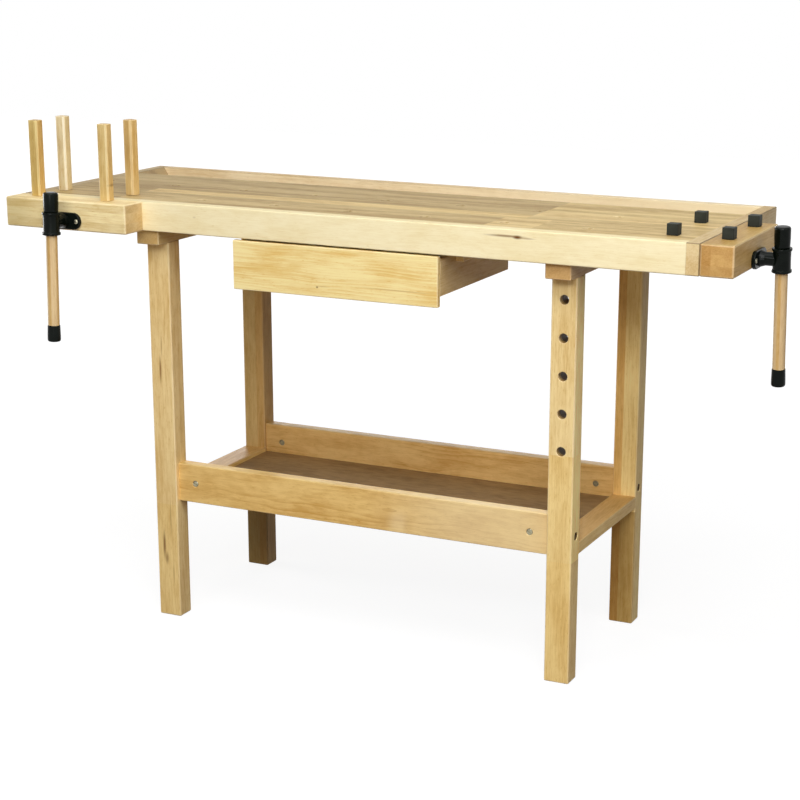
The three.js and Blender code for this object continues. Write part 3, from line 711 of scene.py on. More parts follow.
front_low, front_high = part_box("front_apron")
cap_low, cap_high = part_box("right_end_cap")
# The tops of the apron, the end caps and the back rail carry painted shade, darkest on the left cap.
board("front_apron", "bench", pale_wood, X, glued=("+y", "-x", "+x"), radius=2.4 * MM,
      painted_top_shade=(0.86, 0.84, 0.78), cutters=vise_bores("front", (0, 1, 0), front_high.y - front_low.y, pale_wood))
board("left_end_cap", "bench", cap_wood, Y, glued=("+x",), radius=2.4 * MM,
      painted_top_shade=(0.6, 0.57, 0.53))
board("right_end_cap", "bench", cap_wood, Y, glued=("-x",), radius=1.6 * MM,
      painted_top_shade=(0.8, 0.78, 0.74), cutters=vise_bores("tail", (-1, 0, 0), cap_high.x - cap_low.x, cap_wood))
board("back_rail", "bench", rail_wood, X, glued=("-x", "+x"), radius=2.0 * MM,
      painted_top_shade=(0.86, 0.8, 0.7))
print("apron", [round(v, 3) for v in front_high - front_low])

# %% [markdown]
# ## The worktop and its staves
# The top is glued up from staves: wide brown ones on the left, paler ones on the right, and a light stripe
# between the hole rows. The faces are split along those joints, and each stave gets a tint and a log.

# %% Dress the worktop and the tool well
DOG_HOLE = 19 * MM
DOG_COLUMNS = 9
STAVE_ROWS = (-112, -70, -21)
STAVE_ENDS = (-486, 281, 318, 372)
LEFT_RAMP_FOOT = -636


def stave(point):
    """The shift along the log and the tint of the stave under a point of the top."""
    x = (point.x - TOP_MIDDLE.x) / MM
    y = (point.y - TOP_MIDDLE.y) / MM
    row = sum(y > line for line in STAVE_ROWS)
    if row == 0:
        column = sum(x > line for line in (-486, 281, 372))
        tint = ((0.84, 0.82, 0.78), (0.93, 0.92, 0.89), (1.16, 1.16, 1.13), (1.05, 1.05, 1.02))[column]
    elif row == 1:
        column = sum(x > line for line in (-486, 318))
        tint = ((0.84, 0.82, 0.78), (1.16, 1.15, 1.08), (1.05, 1.05, 1.02))[column]
    else:
        column = sum(x > line for line in (318,))
        left = (0.84, 0.82, 0.79)
        tint = (left, ((1.2, 1.2, 1.17) if row == 2 else (1.14, 1.15, 1.11)))[column]
    return 0.31 * row + 0.17 * column, tint


def stave_cuts():
    rows = [(Y, TOP_MIDDLE.y + y * MM) for y in STAVE_ROWS]
    ends = [(X, TOP_MIDDLE.x + x * MM) for x in STAVE_ENDS]
    return rows + ends


for place in ("front", "rear"):
    node = f"worktop_{place}_board"
    low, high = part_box(node)
    last = middle_of(f"worktop_{place}_dog")
    first_x = middle_of("worktop_left_peg").x
    step = Vector(((last.x - first_x) / (DOG_COLUMNS - 1), 0, 0))
    holes = bore_row(
        Vector((first_x, last.y, high.z)), step, DOG_COLUMNS, DOG_HOLE, (0, 0, -1), high.z - low.z, tan_wood
    )
    board(node, "bench", tan_wood, X, glued=tuple(SIDES), cuts=stave_cuts(), strips=stave,
          cutters=[holes])


def painted_ramp_shade(point):
    """The left ramp of the well is darkened with painted shade."""
    on_left_ramp = (point.x - TOP_MIDDLE.x) / MM < LEFT_RAMP_FOOT
    return 0.0, ((0.72, 0.68, 0.62) if on_left_ramp else (1, 1, 1))


# The well's left ramp carries painted shade.
board("tool_well", "bench", tan_wood, X, radius=0.6 * MM, bm=cad_copy("tool_well"), strips=painted_ramp_shade)
print("dog holes in each row:", DOG_COLUMNS, "pitch", round(step.x / MM, 1), "mm")

# %% [markdown]
# ## The trestles
# Each leg is glued up from strips of unlike tone. The bolts come in through counterbored holes in the outer
# faces, and the right front leg has a column of holes for a peg that props long work.

# %% Dress the legs, bearers and cross rails
BOLT_HEAD_HOLE = 15.5 * MM
BOLT_HEAD_DEPTH = 12 * MM
PEG_HOLE = 17.5 * MM
PEG_HOLES = 5
TOP_PEG_HOLE = 724 * MM
PEG_HOLE_PITCH = 69.5 * MM
HOLE_RINGS = (7 * MM, 14 * MM)
# The peg holes darken in bands with depth: painted shade inside the holes.
PAINTED_HOLE_SHADES = ((0.62, 0.55, 0.42), (0.4, 0.34, 0.25), (0.12, 0.09, 0.06))


def two_strips(axis, place, first, second):
    def strip(point):
        return (0.0, first) if point[axis] < place else (0.43, second)
    return strip


def one_tint(tint):
    return lambda point: (0.0, tint)


def shaded(strips, where, shade):
    """The same strips, but with painted light or shade multiplied into the tint wherever a test of the point says so.
    """
    def strip(point):
        shift, tint = strips(point)
        return shift, (times(tint, shade) if where(point) else tint)
    return strip


FOOT_TOP = 236 * MM
FACE_DEPTH = 3 * MM


def leg(end, side, finish, cut, first, second, foot=(1, 1, 1), outer=(1, 1, 1)):
    node = f"{end}_{side}_leg"
    low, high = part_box(node)
    bolt = middle_of(f"{end}_{side}_bolt")
    outward = 1 if side == "right" else -1
    face = Vector((high.x if outward > 0 else low.x, bolt.y, bolt.z))
    cutters = [bore_row(face, (0, 0, 0), 1, BOLT_HEAD_HOLE, (-outward, 0, 0), BOLT_HEAD_DEPTH, finish)]
    if node == "front_right_leg":
        top_hole = Vector(((low.x + high.x) / 2, low.y, TOP_PEG_HOLE))
        pitch = (0, 0, -PEG_HOLE_PITCH)
        cutters.append(bore_row(
            top_hole, pitch, PEG_HOLES, PEG_HOLE, (0, 1, 0), high.y - low.y, finish, HOLE_RINGS
        ))

    def painted_hole_shade(point):
        return PAINTED_HOLE_SHADES[sum(point.y - low.y > ring for ring in HOLE_RINGS)]

    axis, share = cut
    place = low[axis] + share * (high[axis] - low[axis])
    strips = two_strips(axis, place, first, second)
    # Painted shade darkens the front face of each foot below the stretchers, strongly on the rear legs, and painted
    # light brightens the outer face above the foot on the right front leg.
    strips = shaded(strips, lambda point: point.z < FOOT_TOP and point.y < low.y + FACE_DEPTH, foot)
    strips = shaded(strips, lambda point: point.z > FOOT_TOP and point.x > high.x - HAIR, outer)
    board(node, "bench", finish, Z, glued=("+z",), radius=2.6 * MM,
          cuts=[(axis, place), (Z, FOOT_TOP)], strips=strips, cutters=cutters, painted_bore_shade=painted_hole_shade)


# Each call gives the leg's finish, the joint of its two strips as an axis and a share of its width, the two strips'
# tints, the painted shade on the front face of its foot, and the painted light on its outer face above the foot.
leg("front", "left", left_leg_wood, (Y, 0.5), (1.0, 1.0, 1.0), (0.98, 0.96, 0.92), (0.98, 0.96, 0.87))
leg("front", "right", leg_wood, (Z, 0.573), (1.04, 1.03, 0.98), (1.0, 1.01, 1.06), (1.0, 0.98, 0.93), (1.3, 1.36, 1.3))
# The rear left leg's strip tints are dark partly in their own tone and partly as painted shade under the top.
leg("rear", "left", leg_wood, (X, 0.62), (0.74, 0.69, 0.62), (0.72, 0.61, 0.49), (0.5, 0.46, 0.38))
leg("rear", "right", leg_wood, (X, 0.36), (0.92, 0.76, 0.55), (1.08, 1.08, 1.0), (0.6, 0.52, 0.41))
for side in ("left", "right"):
    # The bearers' darker tints are partly their own tone and partly painted shade under the apron.
    tint = (0.86, 0.86, 0.86) if side == "left" else (0.8, 0.7, 0.64)
    board(f"{side}_bearer", "bench", leg_wood, Y, radius=2.2 * MM, bm=cad_copy(f"{side}_bearer"),
          strips=one_tint(tint))
    # The cross rails' tops carry painted shade.
    board(f"{side}_cross_rail", "bench", leg_wood, Y, glued=("-y", "+y"), radius=1.6 * MM,
          strips=one_tint((0.95, 0.89, 0.74)), painted_top_shade=(0.8, 0.7, 0.64))
print("legs dressed, with", PEG_HOLES, "peg holes in one")

# %% [markdown]
# ## Stretchers and shelf
# Two stretchers tie the trestles together. They are grooved on their inner faces for the shelf, a thin brown
# sheet, and cross-bored for the barrel nuts that the bolts draw up.

# %% Dress the stretchers and the shelf
NUT_HOLE = 12.6 * MM
# The rear stretcher's darker tint is partly its own tone and partly painted shade under the top.
STRETCHER_TINTS = {"front": (0.97, 0.95, 0.91), "rear": (0.86, 0.8, 0.78)}
shelf_low, shelf_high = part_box("shelf")
for end in ("front", "rear"):
    node = f"{end}_stretcher"
    low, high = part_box(node)
    left_nut = middle_of(f"{end}_left_barrel_nut")
    right_nut = middle_of(f"{end}_right_barrel_nut")
    start = Vector((left_nut.x, low.y, left_nut.z))
    nuts = bore_row(start, right_nut - left_nut, 2, NUT_HOLE, (0, 1, 0), high.y - low.y, stretcher_wood)
    groove = new_piece("groove", mesh_from(box_shape(
        (low.x - 0.01, shelf_low.y - 0.3 * MM, shelf_low.z - 0.3 * MM),
        (high.x + 0.01, shelf_high.y + 0.3 * MM, shelf_high.z + 0.3 * MM),
    ), "groove"))
    # The stretchers' tops carry a little painted shade.
    board(node, "bench", stretcher_wood, X, glued=("-x", "+x"), radius=2.0 * MM,
          strips=one_tint(STRETCHER_TINTS[end]), cutters=[nuts, groove], heart=(0.05, 0.0),
          painted_top_shade=(0.95, 0.98, 0.92))
board("shelf", "bench", shelf_board, X, glued=tuple(SIDES), radius=1 * MM)
print("shelf", [round(v, 3) for v in shelf_high - shelf_low])

# %% [markdown]
# ## Metal and plastic finishes
# The vise heads are black-coated castings with a faint orange-peel skin, the handle caps and dogs are black
# plastic, the caps satin and the dogs chalkier, and the small fixings are zinc-plated steel.

# %% Make the dark finishes and the steel
def dark_finish(name, hex_text, roughness, grain_size, relief, sheen):
    material, tree, shader = new_material(name)
    where = add_node(tree, "ShaderNodeTexCoord").outputs["Object"]
    skin = add_node(tree, "ShaderNodeTexNoise", {"Vector": where, "Scale": 1 / grain_size, "Detail": 3.0})
    blotch = add_node(tree, "ShaderNodeTexNoise", {"Vector": where, "Scale": 35.0, "Detail": 2.0})
    shade = rescale(tree, blotch.outputs["Fac"], 0.3, 0.7)
    base = colour(hex_text)
    lifted = tuple(min(1.0, c * 1.6 + 0.003) for c in base[:3]) + (1.0,)
    tree.links.new(mix_colour(tree, shade, base, lifted), shader.inputs["Base Color"])
    rough = rescale(tree, skin.outputs["Fac"], 0.25, 0.75, roughness - 0.06, roughness + 0.1)
    tree.links.new(rough, shader.inputs["Roughness"])
    bump = add_node(tree, "ShaderNodeBump", {
        "Height": skin.outputs["Fac"], "Strength": relief, "Distance": 0.25 * MM,
    })
    tree.links.new(bump.outputs[0], shader.inputs["Normal"])
    shader.inputs["Specular IOR Level"].default_value = sheen
    return material


def steel_finish(name, hex_text, roughness):
    material, tree, shader = new_material(name)
    where = add_node(tree, "ShaderNodeTexCoord").outputs["Object"]
    scuffs = add_node(tree, "ShaderNodeTexNoise", {"Vector": where, "Scale": 420.0, "Detail": 3.0})
    base = colour(hex_text)
    worn = tuple(c * 0.72 for c in base[:3]) + (1.0,)
    shade = rescale(tree, scuffs.outputs["Fac"], 0.35, 0.7)
    tree.links.new(mix_colour(tree, shade, base, worn), shader.inputs["Base Color"])
    rough = rescale(tree, scuffs.outputs["Fac"], 0.2, 0.8, roughness - 0.08, roughness + 0.12)
    tree.links.new(rough, shader.inputs["Roughness"])
    shader.inputs["Metallic"].default_value = 1.0
    return material


black_casting = dark_finish("black_casting", "050A06", 0.16, 0.9 * MM, 0.1, 0.1)
cap_plastic = dark_finish("cap_plastic", "040905", 0.14, 0.5 * MM, 0.05, 0.1)
dog_plastic = dark_finish("dog_plastic", "22251F", 0.6, 0.6 * MM, 0.15, 0.2)
zinc_steel = steel_finish("zinc_steel", "A9A48C", 0.34)
print("dark finishes and zinc made")

# %% [markdown]
# ## Bolts and barrel nuts
# Four socket bolts and four slotted barrel nuts hold the frame. One pattern of each is turned and cut, and
# the same row tree that repeats the bores sets the copies in place.

# %% Dress the fixings
def cut_with(piece, cutter, operation="DIFFERENCE"):
    modifier = piece.modifiers.new("cut", "BOOLEAN")
    modifier.operation = operation
    modifier.solver = "EXACT"
    modifier.object = cutter
    settle(piece)
    bpy.data.objects.remove(cutter)
    return piece


def turned_piece(name, profile, start, direction, sides=TURNED_SIDES):
    return new_piece(name, mesh_from(turned_shape(bmesh.new(), profile, start, direction, sides), name))


def joined(name, pieces):
    """One piece from several, whose own objects are removed."""
    bm = bmesh.new()
    for piece in pieces:
        bm.from_mesh(piece.data)
        bpy.data.objects.remove(piece)
    return new_piece(name, mesh_from(bm, name))


SLOT_WIDTH = 1.8 * MM
SLOT_DEPTH = 2.0 * MM
SLOT_TURN = math.radians(35)


def barrel_nut_pattern(radius, length):
    ease = 0.7 * MM
    profile = [(0, 0)] + [(radius - ease, 0), (radius, ease), (radius, length - ease)]
    profile += [(radius - ease, length), (0, length)]
    nut = turned_piece("nut_pattern", profile, (0, -length / 2, 0), (0, 1, 0), 32)
    for sign in (-1, 1):
        deep = sign * (length / 2 - SLOT_DEPTH)
        past = sign * (length / 2 + SLOT_DEPTH)
        bm = box_shape((-radius * 2, min(deep, past), -SLOT_WIDTH / 2), (radius * 2, max(deep, past), SLOT_WIDTH / 2))
        bmesh.ops.rotate(bm, verts=bm.verts, matrix=Matrix.Rotation(SLOT_TURN, 3, "Y"))
        cut_with(nut, new_piece("slot", mesh_from(bm, "slot")))
    return nut


def bolt_pattern(outward, head_radius, head_height, shank_radius, shank_length):
    """A socket bolt whose head's outer face is at the origin."""
    ease = 0.8 * MM
    profile = [(0, 0), (head_radius - ease, 0), (head_radius, ease), (head_radius, head_height)]
    profile += [(shank_radius, head_height), (shank_radius, shank_length), (0, shank_length)]
    inward = (-outward, 0, 0)
    bolt = turned_piece("bolt_pattern", profile, (0, 0, 0), inward, 32)
    depth = 4.5 * MM
    socket = turned_piece("socket", [(0, -depth), (3.4 * MM, -depth), (3.4 * MM, depth), (0, depth)],
                          (0, 0, 0), inward, 6)
    return cut_with(bolt, socket)


def repeat(name, pattern, first, second, finish):
    piece = run_tree(name, row_tree, {
        "Pattern": pattern, "Count": 2, "First place": first, "Step": second - first, "Finish": finish,
    })
    bpy.data.objects.remove(pattern)
    return smooth(piece)


nut_low, nut_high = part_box("front_left_barrel_nut")
for end in ("front", "rear"):
    nodes = [f"{end}_left_barrel_nut", f"{end}_right_barrel_nut"]
    pattern = barrel_nut_pattern((nut_high.x - nut_low.x) / 2, nut_high.y - nut_low.y)
    pair = repeat(f"{end}_barrel_nuts", pattern, middle_of(nodes[0]), middle_of(nodes[1]), zinc_steel)
    dress(pair, "bench", zinc_steel, nodes)
for side, outward in (("left", -1), ("right", 1)):
    nodes = [f"front_{side}_bolt", f"rear_{side}_bolt"]
    low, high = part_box(nodes[0])
    pattern = bolt_pattern(outward, 6.5 * MM, 8 * MM, 4 * MM, high.x - low.x)
    ends = [middle_of(node) + Vector((outward * (high.x - low.x) / 2, 0, 0)) for node in nodes]
    dress(repeat(f"{side}_bolts", pattern, ends[0], ends[1], zinc_steel), "bench", zinc_steel, nodes)
print("four bolts and four barrel nuts")

# %% [markdown]
# ## The drawer
# A shallow drawer hangs under the top on two runners that fit grooves in its sides. Its front is one wide
# board with a lively grain, and the sides stay plain.

# %% Dress the drawer and its runners
board("drawer_front", "drawer", drawer_wood, X, radius=1.8 * MM)
for side in ("left", "right"):
    node = f"drawer_{side}_side"
    # The sides' darker tint is partly their own tone and partly painted shade under the top.
    board(node, "drawer", leg_wood, Y, radius=0.7 * MM, bm=cad_copy(node),
          strips=one_tint((0.82, 0.81, 0.84)))
    runner = f"{side}_drawer_runner"
    board(runner, "bench", leg_wood, Y, radius=0.7 * MM, bm=cad_copy(runner))
board("drawer_back", "drawer", leg_wood, X, glued=("-x", "+x"), radius=1 * MM)
board("drawer_bottom", "drawer", shelf_board, X, glued=tuple(SIDES), radius=1 * MM)

# %% [markdown]
# ## The vises
# Both vises are alike. A thick jaw, laminated from three layers, slides on two steel rods. A black casting
# turns in an oval flange: its neck carries an upright hub, and a wooden handle slides through the hub
# between two black caps. The screw's thread follows a spiral, so a geometry tree sweeps it.

# %% The tree that sweeps a thread
def make_thread_tree():
    tree = bpy.data.node_groups.new("screw_thread", "GeometryNodeTree")
    for name, kind in (
        ("Turns", "NodeSocketFloat"),
        ("Length", "NodeSocketFloat"),
        ("Radius", "NodeSocketFloat"),
        ("Ridge", "NodeSocketFloat"),
        ("Start", "NodeSocketVector"),
        ("Turned by", "NodeSocketRotation"),
        ("Finish", "NodeSocketMaterial"),
    ):
        tree.interface.new_socket(name=name, in_out="INPUT", socket_type=kind)
    tree.interface.new_socket(name="Geometry", in_out="OUTPUT", socket_type="NodeSocketGeometry")
    given = add_node(tree, "NodeGroupInput").outputs
    spiral = add_node(tree, "GeometryNodeCurveSpiral", {
        "Resolution": 24, "Rotations": given["Turns"], "Start Radius": given["Radius"],
        "End Radius": given["Radius"], "Height": given["Length"],
    })
    upright = add_node(tree, "GeometryNodeSetCurveNormal", {"Curve": spiral.outputs[0]})
    upright.mode = "Z_UP"
    ridge = add_node(tree, "GeometryNodeCurvePrimitiveCircle", {"Resolution": 6, "Radius": given["Ridge"]})
    swept = add_node(tree, "GeometryNodeCurveToMesh", {
        "Curve": upright.outputs[0], "Profile Curve": ridge.outputs[0], "Fill Caps": True,
    })
    placed = add_node(tree, "GeometryNodeTransform", {
        "Geometry": swept.outputs[0], "Translation": given["Start"], "Rotation": given["Turned by"],
    })
    real = add_node(tree, "GeometryNodeRealizeInstances", {"Geometry": placed.outputs[0]})
    coated = add_node(tree, "GeometryNodeSetMaterial", {
        "Geometry": real.outputs[0], "Material": given["Finish"],
    })
    add_node(tree, "NodeGroupOutput", {"Geometry": coated.outputs[0]})
    return tree


thread_tree = make_thread_tree()
print("thread tree nodes:", len(thread_tree.nodes))

# %% Sizes of the vise castings
HUB_RADIUS, HUB_RIM_RADIUS = 15.5 * MM, 17.5 * MM
HUB_HEIGHT, HUB_RIM_HEIGHT = 43 * MM, 5 * MM
HANDLE_BORE = 11.06 * MM
NECK_RADIUS, COLLAR_RADIUS = 12 * MM, 14.5 * MM
FLANGE_THICKNESS = 7 * MM
FLANGE_HALF_HEIGHT = 16 * MM
SCREW_HEAD_RADIUS, SCREW_HEAD_HEIGHT = 4.25 * MM, 2.2 * MM
SCREW_CORE, THREAD_CREST, THREAD_LEAD = 8.3 * MM, 9.9 * MM, 6 * MM
ROD_RADIUS = 7.5 * MM


def rim(radius, start, end, ease):
    """Profile points of a rim with rounded corners, from one distance to another."""
    corner = 0.7 * ease
    return [
        (radius - ease, start), (radius - ease + corner, start + ease - corner), (radius, start + ease),
        (radius, end - ease), (radius - ease + corner, end - ease + corner), (radius - ease, end),
    ]


# %% Dress the screw with its hub
def vise_screw(vise, body, hub, inward, up, length):
    """The casting and the threaded bar behind it. Distances run inward from the middle of the hub."""
    half = HUB_HEIGHT / 2
    lower = rim(HUB_RIM_RADIUS, -half, -half + HUB_RIM_HEIGHT, 1.2 * MM)
    upper = rim(HUB_RIM_RADIUS, half - HUB_RIM_HEIGHT, half, 1.2 * MM)
    waist = [(HUB_RADIUS + 0.3 * MM, -half + HUB_RIM_HEIGHT + 0.6 * MM), (HUB_RADIUS, 0)]
    waist.append((HUB_RADIUS + 0.3 * MM, half - HUB_RIM_HEIGHT - 0.6 * MM))
    profile = [(0, -half)] + lower + waist + upper + [(0, half)]
    head = turned_piece("hub", profile, hub, up)
    flange_low, flange_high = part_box(f"{vise}_vise_flange")
    axis = Y if vise == "front" else X
    seat = flange_high if vise == "front" else flange_low
    flange_back = abs(seat[axis] - hub[axis])
    flange_front = flange_back - FLANGE_THICKNESS
    collar_end = flange_front - 1 * MM
    neck_profile = [
        (0, 9 * MM), (NECK_RADIUS, 9 * MM), (NECK_RADIUS, collar_end - 8 * MM),
        (NECK_RADIUS + 0.6 * MM, collar_end - 6 * MM), (COLLAR_RADIUS, collar_end), (COLLAR_RADIUS, flange_back),
        (0, flange_back),
    ]
    cut_with(head, turned_piece("neck", neck_profile, hub, inward), "UNION")
    reach = [(0, -HUB_HEIGHT), (HANDLE_BORE, -HUB_HEIGHT), (HANDLE_BORE, HUB_HEIGHT), (0, HUB_HEIGHT)]
    cut_with(head, turned_piece("handle_bore", reach, hub, up))
    core_profile = [(0, flange_back - 2 * MM), (SCREW_CORE, flange_back - 2 * MM)]
    core_profile += [(SCREW_CORE, length - 2 * MM), (SCREW_CORE - 2 * MM, length), (0, length)]
    core = turned_piece("core", core_profile, hub, inward)
    thread_length = length - flange_back - 6 * MM
    ridge = THREAD_CREST - SCREW_CORE
    thread = run_tree("thread", thread_tree, {
        "Turns": thread_length / THREAD_LEAD, "Length": thread_length, "Radius": SCREW_CORE, "Ridge": ridge,
        "Start": Vector(hub) + Vector(inward) * (flange_back + 2 * MM),
        "Turned by": Vector(inward).to_track_quat("Z", "Y").to_euler(), "Finish": black_casting,
    })
    screw = joined(f"{vise}_vise_screw_dressed", [head, core, thread])
    smooth(screw)
    return dress(screw, body, black_casting, [f"{vise}_vise_screw"])


# %% Dress the flange and its screws
def vise_flange(vise, body, centre, inward, sideways, width):
    """An oval plate with a bore through it and a round-headed screw in each ear."""
    out = -Vector(inward)
    side = Vector(sideways)
    lug = width / 2 - FLANGE_HALF_HEIGHT
    outline = []
    for step in range(48):
        angle = 2 * math.pi * step / 48
        shift = lug if math.cos(angle) >= 0 else -lug
        outline.append((shift + FLANGE_HALF_HEIGHT * math.cos(angle), FLANGE_HALF_HEIGHT * math.sin(angle)))
    bm = bmesh.new()
    corners = [bm.verts.new(Vector(centre) + side * u + Vector((0, 0, v))) for u, v in outline]
    face = bm.faces.new(corners)
    raised = bmesh.ops.extrude_face_region(bm, geom=[face])
    moved = [item for item in raised["geom"] if isinstance(item, bmesh.types.BMVert)]
    bmesh.ops.translate(bm, vec=out * FLANGE_THICKNESS, verts=moved)
    bmesh.ops.recalc_face_normals(bm, faces=bm.faces)
    weigh_edges(bm, ())
    plate = new_piece("plate", mesh_from(bm, "plate"))
    ease_edges(plate, 1.6 * MM)
    settle(plate)
    reach = [(0, -0.02), (COLLAR_RADIUS + 0.15 * MM, -0.02), (COLLAR_RADIUS + 0.15 * MM, 0.02), (0, 0.02)]
    cut_with(plate, turned_piece("flange_bore", reach, centre, inward))
    flange = smooth(joined(f"{vise}_vise_flange_dressed", [plate]))
    dress(flange, body, black_casting, [f"{vise}_vise_flange"])
    head = turned_piece("screw_pattern", [
        (0, -1 * MM), (SCREW_HEAD_RADIUS, -1 * MM), (SCREW_HEAD_RADIUS, 0.8 * MM),
        (SCREW_HEAD_RADIUS * 0.8, 1.7 * MM), (SCREW_HEAD_RADIUS * 0.4, SCREW_HEAD_HEIGHT - 0.1 * MM),
        (0, SCREW_HEAD_HEIGHT),
    ], (0, 0, 0), out, 24)
    ear = lug + FLANGE_HALF_HEIGHT / 2
    surface = Vector(centre) + out * FLANGE_THICKNESS
    screws = repeat(f"{vise}_flange_screws", head, surface - side * ear, surface + side * ear, zinc_steel)
    screws.data.materials.clear()
    screws.data.materials.append(zinc_steel)
    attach(screws, body)


# %% Dress the handle, its caps, the guide rods and the nut
HANDLE_RADIUS, HANDLE_LENGTH = 11 * MM, 278 * MM
TOP_CAP_RADIUS, TOP_CAP_LENGTH = 14.25 * MM, 37 * MM
BOTTOM_CAP_RADIUS, BOTTOM_CAP_LENGTH = 12.75 * MM, 32 * MM
CAP_FLOOR = 4 * MM
CAP_SEAT = HUB_HEIGHT / 2 + 0.3 * MM


def vise_handle(vise, body, hub, up):
    """The handle and its caps. Distances run up the leaning handle from the middle of the hub."""
    handle_top = CAP_SEAT + TOP_CAP_LENGTH - CAP_FLOOR
    handle_foot = handle_top - HANDLE_LENGTH
    radius, length = HANDLE_RADIUS, HANDLE_LENGTH
    profile = [(0, 0), (radius - 1 * MM, 0), (radius, 1 * MM), (radius, length - 1 * MM)]
    profile += [(radius - 1 * MM, length), (0, length)]
    rod = smooth(turned_piece(f"{vise}_vise_handle_dressed", profile, hub + up * handle_foot, up))
    lay_grain(rod, Z, rod.name)
    dress(rod, body, handle_wood, [f"{vise}_vise_handle"])
    r, h = TOP_CAP_RADIUS, TOP_CAP_LENGTH
    top_profile = [(0, 0.2 * MM), (r - 1.4 * MM, 0), (r - 0.8 * MM, 0.6 * MM), (r - 0.5 * MM, 4 * MM)]
    top_profile += [(r, h * 0.45), (r, h - 4 * MM), (r - 0.5 * MM, h - 2.2 * MM), (r - 1.6 * MM, h - 0.9 * MM)]
    top_profile += [(r - 3.4 * MM, h - 0.3 * MM), (r - 6 * MM, h), (0, h)]
    top = smooth(turned_piece(f"{vise}_vise_top_cap_dressed", top_profile, hub + up * CAP_SEAT, up), 50)
    dress(top, body, cap_plastic, [f"{vise}_vise_top_cap"])
    r, h = BOTTOM_CAP_RADIUS, BOTTOM_CAP_LENGTH
    low_profile = [(0, 0), (r - 4 * MM, 0), (r - 1.4 * MM, 0.7 * MM), (r - 0.3 * MM, 2.2 * MM), (r, 4.5 * MM)]
    low_profile += [(r - 0.1 * MM, h * 0.4), (r - 0.7 * MM, h - 0.8 * MM), (r - 1.1 * MM, h), (0, h)]
    foot = hub + up * (handle_foot - CAP_FLOOR)
    bottom = smooth(turned_piece(f"{vise}_vise_bottom_cap_dressed", low_profile, foot, up), 50)
    dress(bottom, body, cap_plastic, [f"{vise}_vise_bottom_cap"])


def guide_rods(vise, body, inward, axis):
    for side in ("left", "right"):
        node = f"{vise}_vise_{side}_guide_rod"
        low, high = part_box(node)
        start = (low + high) / 2
        length = high[axis] - low[axis]
        start -= Vector(inward) * length / 2
        profile = [(0, 0), (ROD_RADIUS, 0), (ROD_RADIUS, length - 1.5 * MM)]
        profile += [(ROD_RADIUS - 1.5 * MM, length), (0, length)]
        rod = smooth(turned_piece(node + "_dressed", profile, start, inward))
        dress(rod, body, zinc_steel, [node])


def vise_nut(vise):
    node = f"{vise}_vise_nut"
    bm = cad_copy(node)
    weigh_edges(bm, ())
    nut = new_piece(node + "_dressed", mesh_from(bm, node))
    ease_edges(nut, 0.8 * MM)
    smooth(settle(nut))
    dress(nut, "bench", black_casting, [node])


# %% Dress both vises
LAYER_SPLITS = (17 * MM, 36.5 * MM)
END_BLOCK = 19 * MM
END_BLOCK_TINT = (0.9, 0.85, 0.78)
LAYER_TINTS = ((1.0, 0.97, 0.92), (1.06, 1.05, 1.02), (0.96, 0.93, 0.88))


def jaw_layer(top, block_side=None):
    """The jaw's three layers. A block side splits the tail jaw once more, beside the bench."""
    def layer(point):
        number = sum(top - point.z > depth for depth in LAYER_SPLITS)
        tint = LAYER_TINTS[number]
        if block_side is None or point.x > block_side:
            return 0.37 * number, tint
        return 0.37 * number + 0.2, times(tint, END_BLOCK_TINT)
    return layer


def joint(name):
    return next(one for one in frame["joints"] if one["name"] == name)


def vise(name, inward, sideways, axis, pegs, jaw_finish):
    jaw_node = f"{name}_vise_jaw"
    low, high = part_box(jaw_node)
    holes = [middle_of(peg) for peg in pegs]
    first = Vector((holes[0].x, holes[0].y, high.z))
    peg_holes = bore_row(first, holes[1] - holes[0], 2, DOG_HOLE, (0, 0, -1), high.z - low.z, jaw_finish)
    left = middle_of(f"{name}_vise_left_guide_rod")
    right = middle_of(f"{name}_vise_right_guide_rod")
    face = low.copy() if name == "front" else high.copy()
    centre = (left + right) / 2
    centre[axis] = face[axis]
    screw_hole = bore_row(centre, (0, 0, 0), 1, SCREW_HOLE, inward, high[axis] - low[axis], jaw_finish)
    splits = [(Z, high.z - depth) for depth in LAYER_SPLITS]
    block_side = low.x + END_BLOCK if name == "tail" else None
    if block_side:
        splits.append((X, block_side))
    # The tail jaw's top carries painted shade.
    painted_top_shade = (0.71, 0.7, 0.6) if name == "tail" else (1, 1, 1)
    board(jaw_node, f"{name}_jaw", jaw_finish, 1 - axis, radius=3 * MM, cuts=splits,
          strips=jaw_layer(high.z, block_side), cutters=[peg_holes, screw_hole], painted_top_shade=painted_top_shade)
    flange_low, flange_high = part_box(f"{name}_vise_flange")
    flange_middle = (flange_low + flange_high) / 2
    flange_middle[axis] = (flange_high if name == "front" else flange_low)[axis]
    width = (flange_high - flange_low)[1 - axis]
    vise_flange(name, f"{name}_jaw", flange_middle, inward, sideways, width)
    hub = Vector(joint(f"{name}_screw_turn")["pos_m"])
    up = Vector(joint(f"{name}_handle_slide")["axis"]).normalized()
    screw_low, screw_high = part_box(f"{name}_vise_screw")
    length = abs((screw_high if name == "front" else screw_low)[axis] - hub[axis])
    vise_screw(name, f"{name}_screw", hub, inward, up, length)
    vise_handle(name, f"{name}_handle", hub, up)
    guide_rods(name, f"{name}_jaw", inward, axis)
    vise_nut(name)
    print(name, "vise: screw", round(length / MM), "mm long")


vise("front", (0, 1, 0), (1, 0, 0), Y, ("jaw_left_peg", "jaw_right_peg"), jaw_wood)
vise("tail", (-1, 0, 0), (0, 1, 0), X, ("jaw_front_dog", "jaw_rear_dog"), tail_jaw_wood)

# %% [markdown]
# ## Pegs and dogs
# Four tall square pegs stand in the left holes, each turned a little as a hand left it, and four square
# black dogs stand low on the right. All have a round shank that drops into a hole.

# %% Dress the loose pieces
PEG_SIDE, PEG_CORNER = 22 * MM, 3.5 * MM
DOG_SIDE, DOG_CORNER = 21 * MM, 1.2 * MM
SHANK_RADIUS = 9.2 * MM


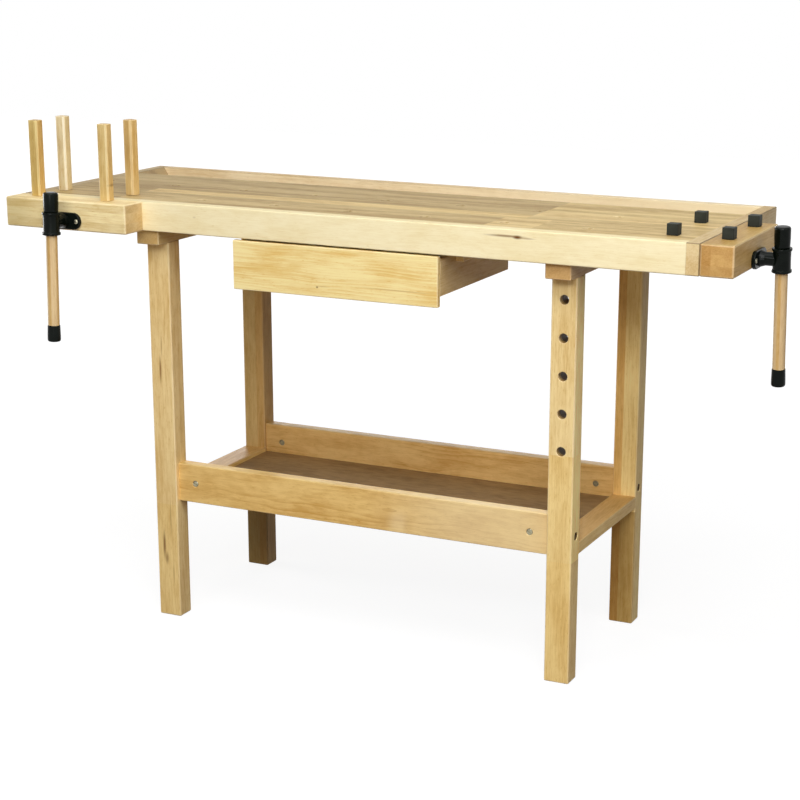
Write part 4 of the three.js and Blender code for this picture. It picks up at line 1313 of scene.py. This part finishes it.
def loose_piece(node, side, corner, turn, finish, surface, strips=None):
    low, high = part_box(node)
    middle = (low + high) / 2
    centre = Vector((middle.x, middle.y, 0))
    half, flat = side / 2, side / 2 - corner
    outline = [(-flat, -half), (flat, -half), (half, -flat), (half, flat)]
    outline += [(-u, -v) for u, v in outline]
    bm = bmesh.new()
    foot = surface + 0.3 * MM
    face = bm.faces.new([bm.verts.new(centre + Vector((u, v, foot))) for u, v in outline])
    raised = bmesh.ops.extrude_face_region(bm, geom=[face])
    moved = [item for item in raised["geom"] if isinstance(item, bmesh.types.BMVert)]
    bmesh.ops.translate(bm, vec=(0, 0, high.z - foot), verts=moved)
    bmesh.ops.recalc_face_normals(bm, faces=bm.faces)
    weigh_edges(bm, ())
    head = new_piece("head", mesh_from(bm, "head"))
    ease_edges(head, 1.0 * MM)
    settle(head)
    shank_length = surface + 1 * MM - low.z
    profile = [(0, 0), (SHANK_RADIUS - 1 * MM, 0), (SHANK_RADIUS, 1 * MM), (SHANK_RADIUS, shank_length)]
    shank = turned_piece("shank", profile + [(0, shank_length)], (centre.x, centre.y, low.z), (0, 0, 1))
    piece = smooth(joined(node + "_dressed", [head, shank]))
    lay_grain(piece, Z, node, strips)
    spin = Matrix.Translation(centre) @ Matrix.Rotation(math.radians(turn), 4, "Z") @ Matrix.Translation(-centre)
    piece.data.transform(spin)
    dress(piece, node, finish, [node])


def peg_faces(node, front, right):
    """A peg's tint on its front half and on its right half, split along the diagonal between them. The tints are
    partly the peg's own tone and partly painted light and shade on each face.
    """
    middle = middle_of(node)

    def face(point):
        return 0.0, (right if point.x - middle.x > middle.y - point.y else front)
    return face


# Each peg's turn in its hole in degrees, and its two tints, which are partly the peg's own tone and partly painted
# light and shade; the worktop's left peg is lifted with painted light where the peg in front of it shades it.
PEGS = {
    "jaw_left_peg": (-2, (0.92, 0.96, 0.74), (1.02, 0.98, 0.76)),
    "jaw_right_peg": (2, (0.98, 1.03, 0.93), (1.03, 1.0, 0.82)),
    "worktop_left_peg": (0, (1.1, 1.31, 1.7), (1.07, 1.18, 1.3)),
    "worktop_right_peg": (-11, (0.92, 0.92, 0.8), (1.08, 1.1, 1.0)),
}
worktop_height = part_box("worktop_front_board")[1].z
for node, (turn, front, right) in PEGS.items():
    strips = peg_faces(node, front, right)
    loose_piece(node, PEG_SIDE, PEG_CORNER, turn, peg_wood, worktop_height, strips)
for place in ("jaw", "worktop"):
    for end in ("front", "rear"):
        node = f"{place}_{end}_dog"
        loose_piece(node, DOG_SIDE, DOG_CORNER, 0, dog_plastic, worktop_height)
print("four pegs and four dogs")
